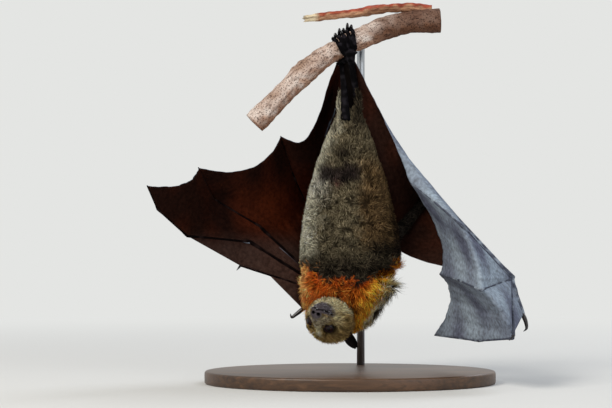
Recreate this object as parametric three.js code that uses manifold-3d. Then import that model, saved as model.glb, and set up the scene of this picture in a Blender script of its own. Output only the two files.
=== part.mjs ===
// Life-size still model of a grey-headed flying fox (a large fruit bat) hanging from a cut length
// of branch, which a plain display stand holds up.
//
// Frame: millimetres, +X to the viewer's right, +Y away from the belly side, +Z up. The origin is the
// centre of the underside of the stand's base. The bat hangs head down. "left" and "right" are the
// viewer's, facing the belly.

import * as THREE from 'three';
import { mergeVertices } from 'three/addons/utils/BufferGeometryUtils.js';
import Module from 'manifold-3d';

const wasm = await Module();
wasm.setup();

// ---------------------------------------------------------------- driving dimensions (mm, degrees)

const GAP = 0.3;                       // clearance between neighbouring solids
const SNAP = 0.12;                     // corners of a cut closer than this are one corner
const SLIVER = 0.1;                   // details finer than this are dropped from a cut edge
const WEB_THICKNESS = 0.8;             // wing membranes
const BODY_TURN = 15;                  // the belly faces this far to the viewer's left of straight ahead

const BASE = { wide: 320, deep: 240, tall: 14, bevel: 2 };
const ROD = { radius: 4.5, x: 14, y: 92, bend: 24, intoBase: 9, intoPerch: 7 };

// Perch: centre line from its low cut end to its high one, and the radius there.
const PERCH = [
  { at: [-105, -12, 286], radius: 12.6 },
  { at: [-77, -10, 314], radius: 12.2 },
  { at: [-44.5, -6, 346], radius: 12.6 },
  { at: [-27.5, -3, 359], radius: 12 },
  { at: [-11, -1, 369], radius: 11.6 },
  { at: [7, 0, 378], radius: 11.6 },
  { at: [41, 1.5, 391.5], radius: 12.8 },
  { at: [69, 2.5, 397.5], radius: 13.3 },
  { at: [99, 4, 399.5], radius: 13.6 },
];
const BARK = [
  { at: [-47, -3, 401.5], wide: 5, deep: 4 },
  { at: [-20, 1, 404.5], wide: 7, deep: 4.4 },
  { at: [8, 4, 407.5], wide: 8, deep: 4.6 },
  { at: [32, 5, 412.5], wide: 8.5, deep: 5 },
  { at: [62, 5, 414], wide: 8, deep: 4.4 },
  { at: [90, 5, 412], wide: 6, deep: 4 },
];

// Trunk, mantle (neck) and hunched shoulders: height, centre, and half sizes across and through.
const TRUNK = [
  { z: 303, x: -1, y: -2, wide: 7, deep: 5 },
  { z: 298, x: -1, y: -1, wide: 14, deep: 9 },
  { z: 287, x: -0.5, y: 0, wide: 22, deep: 15 },
  { z: 272, x: -0.5, y: 1, wide: 28, deep: 22 },
  { z: 251, x: -2, y: 2, wide: 35, deep: 29 },
  { z: 234, x: -1, y: 3, wide: 41, deep: 34 },
  { z: 217, x: -1, y: 4, wide: 46.5, deep: 37 },
  { z: 200, x: -1.5, y: 5, wide: 50.5, deep: 39 },
  { z: 179, x: -0.5, y: 5, wide: 55, deep: 42 },
  { z: 157, x: 0.5, y: 5, wide: 58.5, deep: 44 },
  { z: 141, x: 0.5, y: 5, wide: 59.5, deep: 44 },
  { z: 127, x: 0, y: 5, wide: 59, deep: 43 },
];
const MANTLE = [
  { z: 127, x: 0, y: 5, wide: 59, deep: 43 },
  { z: 114, x: -4, y: 4, wide: 56, deep: 41 },
  { z: 103, x: -8.5, y: 3, wide: 52, deep: 39 },
  { z: 92, x: -10, y: 2, wide: 48, deep: 37 },
  { z: 81, x: -10.5, y: 1, wide: 43, deep: 34 },
  { z: 70, x: -10, y: 1, wide: 36, deep: 30 },
  { z: 60, x: -7, y: 2, wide: 27, deep: 23 },
  { z: 52, x: -3, y: 3, wide: 14, deep: 12 },
];
const SHOULDERS = [
  { z: 142, x: 6, y: 24, wide: 49, deep: 27 },
  { z: 134, x: 6, y: 26, wide: 50, deep: 28 },
  { z: 113, x: 5, y: 27, wide: 46.5, deep: 29 },
  { z: 91, x: 3, y: 27, wide: 41, deep: 27 },
  { z: 71, x: 1, y: 25, wide: 34, deep: 22 },
  { z: 60, x: 1, y: 23, wide: 27, deep: 16 },
  { z: 53, x: 3, y: 22, wide: 15, deep: 9 },
];

// Head, in its own frame: x across, y to the muzzle, z to the crown.
const HEAD = { at: [-22.3, -25, 70.6], yaw: 24, pitch: 5, roll: 20 };
const SKULL = [
  { y: -29, z: 2, wide: 9, deep: 9 },
  { y: -24, z: 1.5, wide: 17, deep: 17 },
  { y: -14, z: 1, wide: 22.5, deep: 22.5 },
  { y: -2, z: 0, wide: 24.5, deep: 24 },
  { y: 8, z: -1.5, wide: 24, deep: 23 },
  { y: 17, z: -3.5, wide: 21, deep: 19.8 },
  { y: 25, z: -6, wide: 15.2, deep: 15.5 },
  { y: 32, z: -7.3, wide: 11.4, deep: 12.8 },
  { y: 38, z: -7.6, wide: 9.4, deep: 10.2 },
  { y: 42.5, z: -7.4, wide: 6.8, deep: 7.2 },
  { y: 44.5, z: -7, wide: 3, deep: 3 },
];
const EYE = { x: 10.6, y: 22, z: 4.4, radius: 5.6 };
const EAR = { x: 17, y: -9, z: 7, lean: [0.58, -0.53, 0.6], length: 22, wide: 7, cup: 70, thick: 1.4 };

// Joints of the two wings, from the shoulder out. Digits run wrist, knuckle, middle joint, tip.
const WINGS = {
  left: {
    shoulder: [-35, 26, 157], elbow: [-10, 75, 245], wrist: [-16, 62, 94],
    digit2: [[-122, 50, 128]],
    digit3: [[-112, 55, 155], [-180, 15, 162], [-210, -32, 192], [-219, -58, 217]],
    digit4: [[-101, 62, 172], [-152, 38, 203], [-166, -15, 237]],
    digit5: [[-46, 124, 193], [-62, 89, 228], [-77, 69, 274]],
    thumb: [[-29, 59, 88], [-52, 50, 79.5]], thumbClaw: [[-59, 49, 74], [-64.5, 48, 70.5], [-66, 47, 74.5]],
    clawCurl: [-4, -6, -5],
    leading: [[-30, 44, 140], [-22, 58, 116]],
    ankle: [-8, 8, 353], calcar: [-15, 9, 352], knee: [-5, -13, 288], furUpLeg: [[-12, -3, 304], [-12, 1, 323]],
    flank: [[-36, 28, 176], [-40, 24, 205], [-33, 18, 240], [-20, 12, 272], [-6, 5, 305], [-9, 11, 336]],
    trailing: [[-24, 16, 329], [-38, 34, 287], [-55, 52, 266.5]], thumbWebReach: 0.7,
  },
  right: {
    shoulder: [40, 7, 154], elbow: [92, 85, 211], wrist: [176, -12, 115],
    digit2: [[170, -117, 60]],
    digit3: [[169, -111, 56], [138, -37, 49], [96, 52, 50]],
    digit4: [[135, -121, 107], [117, -60, 115], [99, 4, 120]],
    digit5: [[115, -106, 175], [91, -68, 198], [65, -26, 221]],
    thumb: [[179, -22, 103], [186, -44, 78]], thumbClaw: [[188.5, -51, 70], [188.5, -57, 63.5], [185, -61, 60.5]],
    clawCurl: [-5, 3, -6],
    leading: [[75, 12, 136], [128, 2, 124]],
    ankle: [1, -15, 354], calcar: [5, -14, 353], knee: [9, 3, 290], furUpLeg: [[9.5, -1, 305], [8, -5.5, 325]],
    flank: [[46, 10, 176], [38, 10, 205], [27, 9, 240], [17, 8, 272], [9, 6, 305], [6, 0, 332]],
    trailing: [[26, -6.5, 312], [43, -6, 276.5], [56, -12.5, 246.5]], thumbWebReach: 0.95,
  },
};
const BONES = {
  upperArm: [15, 12, 8.5], forearm: [6.6, 5, 6.2],
  digit2: { knuckle: 2.6, shaft: 1.7, tip: 1.1 },
  digit3: { knuckle: 3.1, shaft: 2.2, tip: 0.8 },
  digit4: { knuckle: 3, shaft: 2, tip: 0.8 },
  digit5: { knuckle: 3.1, shaft: 2.1, tip: 0.8 },
  thumb: [3.8, 3, 2.6], thumbClaw: [2.5, 1.9, 0.5],
  thigh: [15, 12, 8.5, 6.8, 3.4], shank: [6.2, 4.6, 4],
};
const FREE_EDGE_SAG = { between4and5: 0.17, between3and4: 0.2 };

// Feet: toes are arcs round the perch, from one X at the sole to another at the tip. Angles go from
// the front of the perch (0) over its top (90).
const FEET = {
  right: {
    heel: [0, -18.5, 361], soleX: [-6, -3, 0, 3, 6], tipX: [-19, -14, -9, -4, 1.5], toeRadius: 2.2,
    arc: [[-46, 4.4], [-20, 3.2], [12, 2.9], [45, 3.4], [68, 3.5]],
    claw: [[82, 3.2], [103, 2.6], [124, 0.9]], clawReach: [1.3, 1, 1.4, 1.1, 0.9],
  },
  left: {
    heel: [-10, 17.5, 361], soleX: [-15.5, -12, -8.5, -5, -1.5], tipX: [-16, -11.6, -7.2, -2.8, 1.6], toeRadius: 2,
    arc: [[226, 4.4], [200, 3.4], [165, 3.8], [138, 7], [118, 9.6]],
    claw: [[105, 10.4], [92, 9.2], [83, 6.6]], clawReach: [0.68, 0.95, 0.8, 1.08, 0.74],
  },
};

// ---------------------------------------------------------------- finishes

const FINISH = {
  bellyFur: [0x6f6a58, 0.95, 0], mantleFur: [0xb0601f, 0.95, 0], backFur: [0x37332c, 0.95, 0],
  headFur: [0x817d66, 0.95, 0], skin: [0x2b2326, 0.55, 0], membrane: [0x3a2420, 0.6, 0],
  claw: [0x0f0d0e, 0.25, 0], eye: [0x1a0f08, 0.08, 0], ear: [0x241c1b, 0.7, 0],
  bark: [0xb49a8c, 0.9, 0], peel: [0xb5573a, 0.85, 0], steel: [0xa9adb1, 0.35, 0.9],
  base: [0x4a3323, 0.5, 0],
};

// ---------------------------------------------------------------- small helpers

const vec = (p) => new THREE.Vector3(...p);
const mix = (a, b, t) => new THREE.Vector3().lerpVectors(a, b, t);
const BACKWARD = [Math.sin(THREE.MathUtils.degToRad(BODY_TURN)), Math.cos(THREE.MathUtils.degToRad(BODY_TURN)), 0];

/** A three.js geometry as a manifold solid, with corners closer than a snap joined. */
function solidOf(geometry, snap = 1e-3) {
  geometry.deleteAttribute('normal');
  geometry.deleteAttribute('uv');
  const merged = mergeVertices(geometry, snap);
  return new wasm.Manifold(new wasm.Mesh({
    numProp: 3,
    vertProperties: new Float32Array(merged.attributes.position.array),
    triVerts: new Uint32Array(merged.index.array),
  }));
}

/** A manifold solid as a flat-shaded three.js geometry. */
function geometryOf(solid) {
  const mesh = solid.getMesh();
  const geometry = new THREE.BufferGeometry();
  geometry.setAttribute('position', new THREE.BufferAttribute(new Float32Array(mesh.vertProperties), 3));
  geometry.setIndex(new THREE.BufferAttribute(new Uint32Array(mesh.triVerts), 1));
  geometry.computeVertexNormals();
  return geometry;
}

/** The largest of the separate pieces that a cut leaves, without the slivers along its cut edges. */
function largestPiece(solid) {
  let rest = solid;
  for (const shift of [0.4 * SNAP, -0.8 * SNAP, 0.4 * SNAP]) {
    const shifted = rest.simplify(SLIVER).translate(shift, shift, shift);
    const pieces = solidOf(geometryOf(shifted), SNAP).decompose();
    rest = pieces.reduce((best, piece) => (piece.volume() > best.volume() ? piece : best));
  }
  return rest;
}

/** Sizes and places read off a short list of stations by a smooth curve, at evenly spaced rows. */
function smoothed(stations, rows) {
  const centres = new THREE.CatmullRomCurve3(stations.map((s) => s.at));
  const sizes = new THREE.CatmullRomCurve3(stations.map((s) => new THREE.Vector3(s.wide, s.deep, 0)));
  return Array.from({ length: rows }, (_, row) => {
    const t = row / (rows - 1);
    const size = sizes.getPoint(t);
    return { at: centres.getPoint(t), wide: size.x, deep: size.y };
  });
}

/** Closed body through oval sections, one ring at each station, flat at both ends. */
function loft(stations, { sides = 8, facing = [0, 1, 0], grow = 0 } = {}) {
  const rows = stations.length;
  const last = rows - 1;
  const tangents = stations.map((_, i) => new THREE.Vector3()
    .subVectors(stations[Math.min(i + 1, last)].at, stations[Math.max(i - 1, 0)].at).normalize());
  const centres = stations.map((s) => s.at.clone());
  centres[0].addScaledVector(tangents[0], -grow);
  centres[last].addScaledVector(tangents[last], grow);
  let deepAxis = vec(facing);
  const frames = tangents.map((tangent) => {
    deepAxis = deepAxis.clone().addScaledVector(tangent, -deepAxis.dot(tangent)).normalize();
    return { deepAxis, wideAxis: new THREE.Vector3().crossVectors(deepAxis, tangent) };
  });
  const geometry = new THREE.CylinderGeometry(1, 1, 1, sides, last);
  const position = geometry.attributes.position;
  for (let i = 0; i < position.count; i += 1) {
    const row = Math.round((0.5 - position.getY(i)) * last);
    const { wideAxis, deepAxis: through } = frames[row];
    const point = centres[row].clone()
      .addScaledVector(wideAxis, position.getX(i) * (stations[row].wide + grow))
      .addScaledVector(through, position.getZ(i) * (stations[row].deep + grow));
    position.setXYZ(i, point.x, point.y, point.z);
  }
  return solidOf(geometry);
}

/** Round limb through a list of points with a radius at each. */
function limb(points, radii, options) {
  const stations = points.map((at, i) => ({ at, wide: radii[i], deep: radii[i] }));
  return loft(stations, options);
}

/** Chain of finger bones, joined: thin shafts between thicker knuckles, ending in a fine tip. */
function fingerBones(joints, { knuckle, shaft, tip }, grow = 0) {
  const bones = joints.slice(1).map((end, i) => {
    const start = joints[i];
    const taper = 1 - 0.22 * i;
    const isLast = i === joints.length - 2;
    const overrun = (0.6 * knuckle * taper) / start.distanceTo(end);
    const points = [-overrun, 0.12, 0.88, isLast ? 1 : 1 + overrun].map((t) => start.clone().lerp(end, t));
    const thin = shaft * taper;
    const radii = [knuckle * taper, thin, isLast ? (thin + tip) / 2 : thin, isLast ? tip : knuckle * taper * 0.9];
    return limb(points, radii, { sides: 5, facing: [0.3, 0.2, 1], grow });
  });
  return bones.reduce((chain, bone) => chain.add(bone));
}

/** Point at a fraction of the length of a path of straight stretches. */
function alongPath(points) {
  const path = new THREE.CurvePath();
  points.slice(1).forEach((end, i) => path.add(new THREE.LineCurve3(points[i], end)));
  return (t) => path.getPoint(THREE.MathUtils.clamp(t, 0, 1));
}

/** Point on a finger, with its knuckle and middle joint at the same fractions on every finger. */
function alongFinger(points) {
  const knuckle = 0.4;
  const middleJoint = 0.7;
  const rest = points.length - 3;
  const stops = [0, knuckle, middleJoint];
  for (let i = 1; i <= rest; i += 1) stops.push(THREE.MathUtils.lerp(middleJoint, 1, i / rest));
  return (t) => {
    const bone = Math.min(Math.max(stops.findIndex((stop) => t < stop), 1), points.length - 1);
    const last = t >= 1 ? points.length - 1 : bone;
    return mix(points[last - 1], points[last], (t - stops[last - 1]) / (stops[last] - stops[last - 1]));
  };
}

/** Free edge of a membrane between two tips, hollowed towards a third point. */
function hollowEdge(start, end, towards, sag) {
  const pull = mix(start, end, 0.5).sub(towards).normalize().multiplyScalar(-2 * sag * start.distanceTo(end));
  const curve = new THREE.QuadraticBezierCurve3(start, mix(start, end, 0.5).add(pull), end);
  return (t) => curve.getPoint(t);
}

/** Surface that fills four edges: first and second run with u at v = 0 and 1, the others with v. */
function fourSided(first, second, start, end) {
  return (u, v) => {
    const point = first(u).multiplyScalar(1 - v).addScaledVector(second(u), v);
    point.addScaledVector(start(v), 1 - u).addScaledVector(end(v), u);
    point.addScaledVector(first(0), -(1 - u) * (1 - v)).addScaledVector(first(1), -u * (1 - v));
    return point.addScaledVector(second(0), -(1 - u) * v).addScaledVector(second(1), -u * v);
  };
}

/** Surface of straight rulings from one edge to another. */
const ruled = (first, second) => (u, v) => mix(first(u), second(u), v);

/** Mean of the directions just before and just after a point, both weighed alike however sharp the fold. */
function heading(before, point, after) {
  const [arriving, leaving] = [point.clone().sub(before).normalize(), after.clone().sub(point).normalize()];
  return arriving.add(leaving).normalize();
}

/** Thick sheet over a surface, between two values of u and two of v. Both sides split their squares alike. */
function sheet(surface, { columns = 7, rows = 7, u = [0, 1], v = [0, 1], thick = WEB_THICKNESS, grow = 0 } = {}) {
  const step = 1e-3;
  const geometry = new THREE.BoxGeometry(1, 1, 1, columns, rows, 1);
  const farSide = geometry.groups[5];
  for (let i = farSide.start; i < farSide.start + farSide.count; i += 6) {
    const [corner, opposite] = [geometry.index.getX(i), geometry.index.getX(i + 4)];
    geometry.index.setX(i + 2, opposite);
    geometry.index.setX(i + 3, corner);
  }
  const position = geometry.attributes.position;
  for (let i = 0; i < position.count; i += 1) {
    const a = THREE.MathUtils.lerp(u[0], u[1], position.getX(i) + 0.5);
    const b = THREE.MathUtils.lerp(v[0], v[1], position.getY(i) + 0.5);
    const [a0, a1] = [Math.max(a - step, 0), Math.min(a + step, 1)];
    const [b0, b1] = [Math.max(b - step, 0), Math.min(b + step, 1)];
    const point = surface(a, b);
    const across = heading(surface(a0, b), point, surface(a1, b));
    const along = heading(surface(a, b0), point, surface(a, b1));
    const normal = new THREE.Vector3().crossVectors(across, along).normalize();
    point.addScaledVector(normal, Math.sign(position.getZ(i)) * (thick / 2 + grow));
    if (Math.abs(position.getX(i)) === 0.5) point.addScaledVector(across, Math.sign(position.getX(i)) * grow);
    if (Math.abs(position.getY(i)) === 0.5) point.addScaledVector(along, Math.sign(position.getY(i)) * grow);
    position.setXYZ(i, point.x, point.y, point.z);
  }
  return solidOf(geometry);
}

// ---------------------------------------------------------------- the model's list of parts

const bat = new THREE.Group();
const shapes = {};

/** Adds one named part: its shape, less the grown shapes of the neighbours that it gives way to. */
function addPart(name, finish, make, neighbours = []) {
  shapes[name] = make;
  const solid = neighbours.reduce((rest, other) => rest.subtract(shapes[other](GAP)), make(0));
  const [color, roughness, metalness] = FINISH[finish];
  const material = new THREE.MeshStandardMaterial({ color, roughness, metalness });
  const mesh = new THREE.Mesh(geometryOf(largestPiece(solid)), material);
  mesh.name = name;
  bat.add(mesh);
}

// ---------------------------------------------------------------- stand and perch

/** Bent rod from the base up behind the bat and forward into the perch. */
function standRod(grow) {
  const perchHeight = 380.5;
  const perchBack = 10;
  const top = perchHeight - ROD.bend;
  const points = [new THREE.Vector3(ROD.x, ROD.y, BASE.tall - ROD.intoBase), new THREE.Vector3(ROD.x, ROD.y, top)];
  for (let i = 1; i <= 5; i += 1) {
    const angle = (i / 5) * Math.PI / 2;
    const back = ROD.bend * (1 - Math.cos(angle));
    points.push(new THREE.Vector3(ROD.x, ROD.y - back, top + ROD.bend * Math.sin(angle)));
  }
  points.push(new THREE.Vector3(ROD.x, perchBack - ROD.intoPerch, perchHeight));
  return limb(points, points.map(() => ROD.radius), { sides: 10, facing: [1, 0, 0], grow });
}

/** Oval base plate with a small bevel round its upper and lower rims. */
function standBase() {
  const { wide, deep, tall, bevel } = BASE;
  const outline = new THREE.Shape().absellipse(0, 0, wide / 2 - bevel, deep / 2 - bevel, 0, 2 * Math.PI);
  const geometry = new THREE.ExtrudeGeometry(outline, {
    depth: tall - 2 * bevel, bevelThickness: bevel, bevelSize: bevel, bevelSegments: 1, curveSegments: 12,
  });
  geometry.translate(0, 0, bevel);
  return solidOf(geometry);
}

const perchStations = PERCH.map(({ at, radius }) => ({ at: vec(at), wide: radius, deep: radius }));
const barkStations = BARK.map(({ at, wide, deep }) => ({ at: vec(at), wide, deep }));

addPart('stand_rod', 'steel', standRod);
addPart('stand_base', 'base', standBase, ['stand_rod']);
addPart('perch_branch', 'bark', (grow) => loft(smoothed(perchStations, 12), { sides: 12, grow }), ['stand_rod']);
addPart('perch_bark_strip', 'peel',
  (grow) => loft(smoothed(barkStations, 6), { sides: 6, facing: [0, 0, 1], grow }), ['perch_branch']);

// ---------------------------------------------------------------- trunk, mantle, shoulders and head

const standing = (stations) => stations.map(({ z, x, y, wide, deep }) => ({ at: vec([x, y, z]), wide, deep }));
const torso = (stations, rows, sides) => (grow) => loft(smoothed(standing(stations), rows),
  { sides, facing: BACKWARD, grow });

const toRadians = THREE.MathUtils.degToRad;
const headPlace = new THREE.Matrix4().makeTranslation(...HEAD.at)
  .multiply(new THREE.Matrix4().makeRotationY(toRadians(HEAD.roll)))
  .multiply(new THREE.Matrix4().makeRotationZ(toRadians(-HEAD.yaw)))
  .multiply(new THREE.Matrix4().makeRotationX(toRadians(HEAD.pitch)))
  .multiply(new THREE.Matrix4().makeRotationX(Math.PI));
const inHead = (x, y, z) => new THREE.Vector3(x, y, z).applyMatrix4(headPlace);
const headDirection = (x, y, z) => new THREE.Vector3(x, y, z).transformDirection(headPlace);

/** Furred head from the back of the skull to the nose. */
function headShape(grow) {
  const stations = SKULL.map(({ y, z, wide, deep }) => ({ at: inHead(0, y, z), wide, deep }));
  return loft(smoothed(stations, 11), { sides: 14, facing: headDirection(0, 0, 1).toArray(), grow });
}

/** Eyeball on one side of the head. */
function eyeShape(side, grow) {
  const geometry = new THREE.SphereGeometry(EYE.radius + grow, 9, 6);
  const centre = inHead(side * EYE.x, EYE.y, EYE.z);
  geometry.translate(centre.x, centre.y, centre.z);
  return solidOf(geometry);
}

/** Pointed, cupped ear that opens forwards. */
function earShape(side, grow) {
  const base = inHead(side * EAR.x, EAR.y, EAR.z);
  const [leanX, leanY, leanZ] = EAR.lean;
  const axis = headDirection(side * leanX, leanY, leanZ);
  const front = headDirection(side * 0.45, 0.85, 0.25);
  front.addScaledVector(axis, -front.dot(axis)).normalize();
  const across = new THREE.Vector3().crossVectors(axis, front);
  const cup = toRadians(EAR.cup);
  const surface = (u, v) => {
    const half = EAR.wide * Math.sqrt(Math.max(1 - v * v * v, 0.004)) * (0.78 + 0.22 * Math.sin(Math.PI * v));
    const swing = (2 * u - 1) * cup;
    return base.clone().addScaledVector(axis, EAR.length * v)
      .addScaledVector(across, half * Math.sin(swing))
      .addScaledVector(front, half * (1 - Math.cos(swing)));
  };
  return sheet(surface, { columns: 4, rows: 4, thick: EAR.thick, grow });
}

const SIDES = { left: -1, right: 1 };
for (const [name, side] of Object.entries(SIDES)) addPart(`eye_${name}`, 'eye', (grow) => eyeShape(side, grow));
addPart('head', 'headFur', headShape, ['eye_left', 'eye_right']);
for (const [name, side] of Object.entries(SIDES)) {
  addPart(`ear_${name}`, 'ear', (grow) => earShape(side, grow), ['head']);
}
addPart('trunk', 'bellyFur', torso(TRUNK, 11, 16));
addPart('neck', 'mantleFur', torso(MANTLE, 7, 14), ['trunk', 'head', 'ear_left', 'ear_right']);
addPart('shoulders', 'backFur', torso(SHOULDERS, 6, 14), ['trunk', 'neck', 'head']);

// ---------------------------------------------------------------- legs and feet

const perchCurve = new THREE.CatmullRomCurve3(perchStations.map((s) => s.at));

/** Point near the perch: at one X along it, at an angle round it and a height over its bark. */
function roundPerch(x, degrees, height) {
  const samples = perchCurve.getPoints(80);
  const centre = samples.reduce((best, p) => (Math.abs(p.x - x) < Math.abs(best.x - x) ? p : best));
  const nearest = perchStations.reduce((a, b) => (a.at.distanceTo(centre) < b.at.distanceTo(centre) ? a : b));
  const reach = nearest.wide + height;
  const angle = toRadians(degrees);
  return new THREE.Vector3(x, centre.y - reach * Math.cos(angle), centre.z + reach * Math.sin(angle));
}

/** Centre line of one toe, from the sole to the root of its claw. */
function toeLine(side, toe) {
  const { soleX, tipX, arc } = FEET[side];
  const last = arc.length - 1;
  return arc.map(([degrees, height], i) => roundPerch(
    THREE.MathUtils.lerp(soleX[toe], tipX[toe], i / last), degrees, height,
  ));
}

/** Ankle, its spur for the membrane, spreading sole and five toes of one foot, joined. */
function footShape(side, grow) {
  const { heel, soleX, toeRadius, arc } = FEET[side];
  const [ankle, calcar] = [vec(WINGS[side].ankle), vec(WINGS[side].calcar)];
  const sole = loft([
    { at: ankle, wide: 4.2, deep: 4.2 },
    { at: vec(heel), wide: 5.5, deep: 4 },
    { at: roundPerch(soleX[2], ...arc[0]), wide: (soleX[4] - soleX[0]) / 2 + 2.4, deep: 3.2 },
  ], { sides: 8, facing: [0, 1, 0], grow });
  const spur = limb([ankle, calcar], [2.4, 1.3], { sides: 5, facing: [0, 1, 0], grow });
  return soleX.reduce((foot, _, toe) => {
    const line = toeLine(side, toe);
    return foot.add(limb(line, line.map(() => toeRadius), { sides: 4, facing: [1, 0, 0], grow }));
  }, calcar.distanceTo(ankle) > 6 ? sole.add(spur) : sole);
}

/** Hooked claw at the end of one toe. */
function toeClaw(side, toe, grow) {
  const { claw, clawReach, tipX, toeRadius } = FEET[side];
  const points = claw.map(([degrees, height]) => roundPerch(tipX[toe], degrees, height * clawReach[toe]));
  const start = toeLine(side, toe).at(-1);
  return limb([start, ...points], [toeRadius, 1.5, 1.1, 0.35], { sides: 4, facing: [1, 0, 0], grow });
}

for (const side of Object.keys(SIDES)) {
  const { ankle, knee, furUpLeg } = WINGS[side];
  const hip = vec(knee).add(new THREE.Vector3(SIDES[side] * 6, 14, -44));
  const thigh = [hip, mix(hip, vec(knee), 0.5), vec(knee), ...furUpLeg.map(vec)];
  addPart(`thigh_${side}`, 'bellyFur', (grow) => limb(thigh, BONES.thigh, { sides: 8, grow }), ['trunk']);
  const shank = [vec(knee), mix(vec(knee), vec(ankle), 0.5), vec(ankle)];
  addPart(`shank_${side}`, 'skin', (grow) => limb(shank, BONES.shank, { sides: 6, grow }),
    ['trunk', 'thigh_left', `thigh_${side}`]);
}
for (const side of Object.keys(SIDES)) {
  addPart(`foot_${side}`, 'skin', (grow) => footShape(side, grow), ['perch_branch', 'shank_left', 'shank_right']);
  FEET[side].tipX.forEach((_, toe) => {
    addPart(`claw_${side}_${toe + 1}`, 'claw', (grow) => toeClaw(side, toe, grow), ['perch_branch', `foot_${side}`]);
  });
}

// ---------------------------------------------------------------- wings

/** Adds the arm, the fingers, the thumb and the membranes of one wing. */
function addWing(side) {
  const wing = WINGS[side];
  const [shoulder, elbow, wrist, calcar] = ['shoulder', 'elbow', 'wrist', 'calcar'].map((key) => vec(wing[key]));
  const digit = (n) => [wrist, ...wing[`digit${n}`].map(vec)];
  const tipOf = (n) => digit(n).at(-1);
  const torsoParts = ['trunk', 'neck', 'shoulders'];

  const upperArm = [shoulder, mix(shoulder, elbow, 0.5), elbow];
  addPart(`upper_arm_${side}`, 'bellyFur', (grow) => limb(upperArm, BONES.upperArm, { sides: 8, grow }), torsoParts);
  const lowerArm = [elbow, mix(elbow, wrist, 0.4), wrist];
  addPart(`forearm_${side}`, 'skin', (grow) => limb(lowerArm, BONES.forearm, { sides: 7, grow }),
    [...torsoParts, `upper_arm_${side}`]);

  const settled = [`forearm_${side}`, ...torsoParts];
  for (const n of [3, 4, 5, 2]) {
    addPart(`digit${n}_${side}`, 'skin', (grow) => fingerBones(digit(n), BONES[`digit${n}`], grow), [...settled]);
    settled.push(`digit${n}_${side}`);
  }
  const thumb = [wrist, ...wing.thumb.map(vec)];
  const claw = [thumb.at(-1), ...wing.thumbClaw.map(vec)];
  addPart(`thumb_${side}`, 'skin', (grow) => limb(thumb, BONES.thumb, { sides: 6, facing: [0, 0, 1], grow }),
    [...settled, 'head']);
  addPart(`thumb_claw_${side}`, 'claw',
    (grow) => limb(claw, [2.6, ...BONES.thumbClaw], { sides: 5, facing: [1, 0, 0], grow }), [`thumb_${side}`]);
  const hook = [0, 0.5, 1].map((share) => tipOf(2).clone().addScaledVector(vec(wing.clawCurl), share));
  hook[1].y -= 1;
  addPart(`digit2_claw_${side}`, 'claw',
    (grow) => limb(hook, [1.6, 1.1, 0.4], { sides: 4, facing: [1, 0, 0], grow }), [`digit2_${side}`, `digit3_${side}`]);

  const bones = [`upper_arm_${side}`, ...settled, `thumb_${side}`];
  const legs = ['thigh_left', 'thigh_right', 'shank_left', 'shank_right', `foot_${side}`];
  const arm = alongPath([shoulder, elbow, wrist]);
  const elbowAt = shoulder.distanceTo(elbow) / (shoulder.distanceTo(elbow) + elbow.distanceTo(wrist));
  const body = new THREE.CatmullRomCurve3([shoulder, ...wing.flank.map(vec), calcar]);
  const trailing = new THREE.CatmullRomCurve3([calcar, ...wing.trailing.map(vec), tipOf(5)]);
  const gutter = fourSided(arm, (t) => trailing.getPoint(t), (t) => body.getPoint(t), alongFinger(digit(5)));
  addPart(`plagiopatagium_inner_${side}`, 'membrane',
    (grow) => sheet(gutter, { columns: 2, rows: 6, u: [0, elbowAt - 0.003], grow }), [...bones, ...legs]);
  addPart(`plagiopatagium_outer_${side}`, 'membrane',
    (grow) => sheet(gutter, { columns: 3, rows: 6, u: [elbowAt + 0.003, 1], grow }),
    [...bones, ...legs, `plagiopatagium_inner_${side}`]);

  const leading = new THREE.CatmullRomCurve3([shoulder, ...wing.leading.map(vec), wrist]);
  const front = ruled(arm, (t) => leading.getPoint(t));
  addPart(`propatagium_${side}`, 'membrane',
    (grow) => sheet(front, { columns: 6, rows: 2, u: [0.02, 0.98], grow }), bones);

  const webs = { '4_5': [5, 4, FREE_EDGE_SAG.between4and5], '3_4': [4, 3, FREE_EDGE_SAG.between3and4] };
  const besideWeb = { '4_5': `plagiopatagium_outer_${side}`, '3_4': `dactylopatagium_4_5_${side}` };
  for (const [name, [inner, outer, sag]] of Object.entries(webs)) {
    const rim = hollowEdge(tipOf(inner), tipOf(outer), wrist, sag);
    const web = fourSided(() => wrist.clone(), rim, alongFinger(digit(inner)), alongFinger(digit(outer)));
    addPart(`dactylopatagium_${name}_${side}`, 'membrane',
      (grow) => sheet(web, { columns: 4, rows: 10, u: [0.016, 0.984], grow }), [...bones, besideWeb[name]]);
  }
  const third = digit(3);
  if (tipOf(2).distanceTo(third[1]) > 12) {
    const leadingWeb = ruled(alongPath([wrist, tipOf(2), third[2]]), alongPath(third.slice(0, 3)));
    addPart(`dactylopatagium_2_3_${side}`, 'membrane',
      (grow) => sheet(leadingWeb, { columns: 5, rows: 1, u: [0.03, 0.97], grow }),
      [...bones, `digit2_claw_${side}`, `dactylopatagium_3_4_${side}`]);
  }
  const thumbWeb = ruled(alongPath(thumb), alongPath([wrist, mix(wrist, tipOf(2), wing.thumbWebReach)]));
  addPart(`thumb_web_${side}`, 'membrane',
    (grow) => sheet(thumbWeb, { columns: 3, rows: 1, u: [0.08, 0.98], grow }),
    [...bones, `propatagium_${side}`, `thumb_claw_${side}`]);
}

addWing('left');
addWing('right');

const legLine = (side) => alongPath([vec(WINGS[side].knee), vec(WINGS[side].ankle)]);
const besideLegs = ['thigh', 'shank', 'foot', 'plagiopatagium_inner'].flatMap((part) => [`${part}_left`, `${part}_right`]);
addPart('uropatagium', 'membrane',
  (grow) => sheet(ruled(legLine('left'), legLine('right')), { columns: 3, rows: 2, u: [0.1, 0.9], grow }),
  ['trunk', ...besideLegs]);

export default bat;
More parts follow.
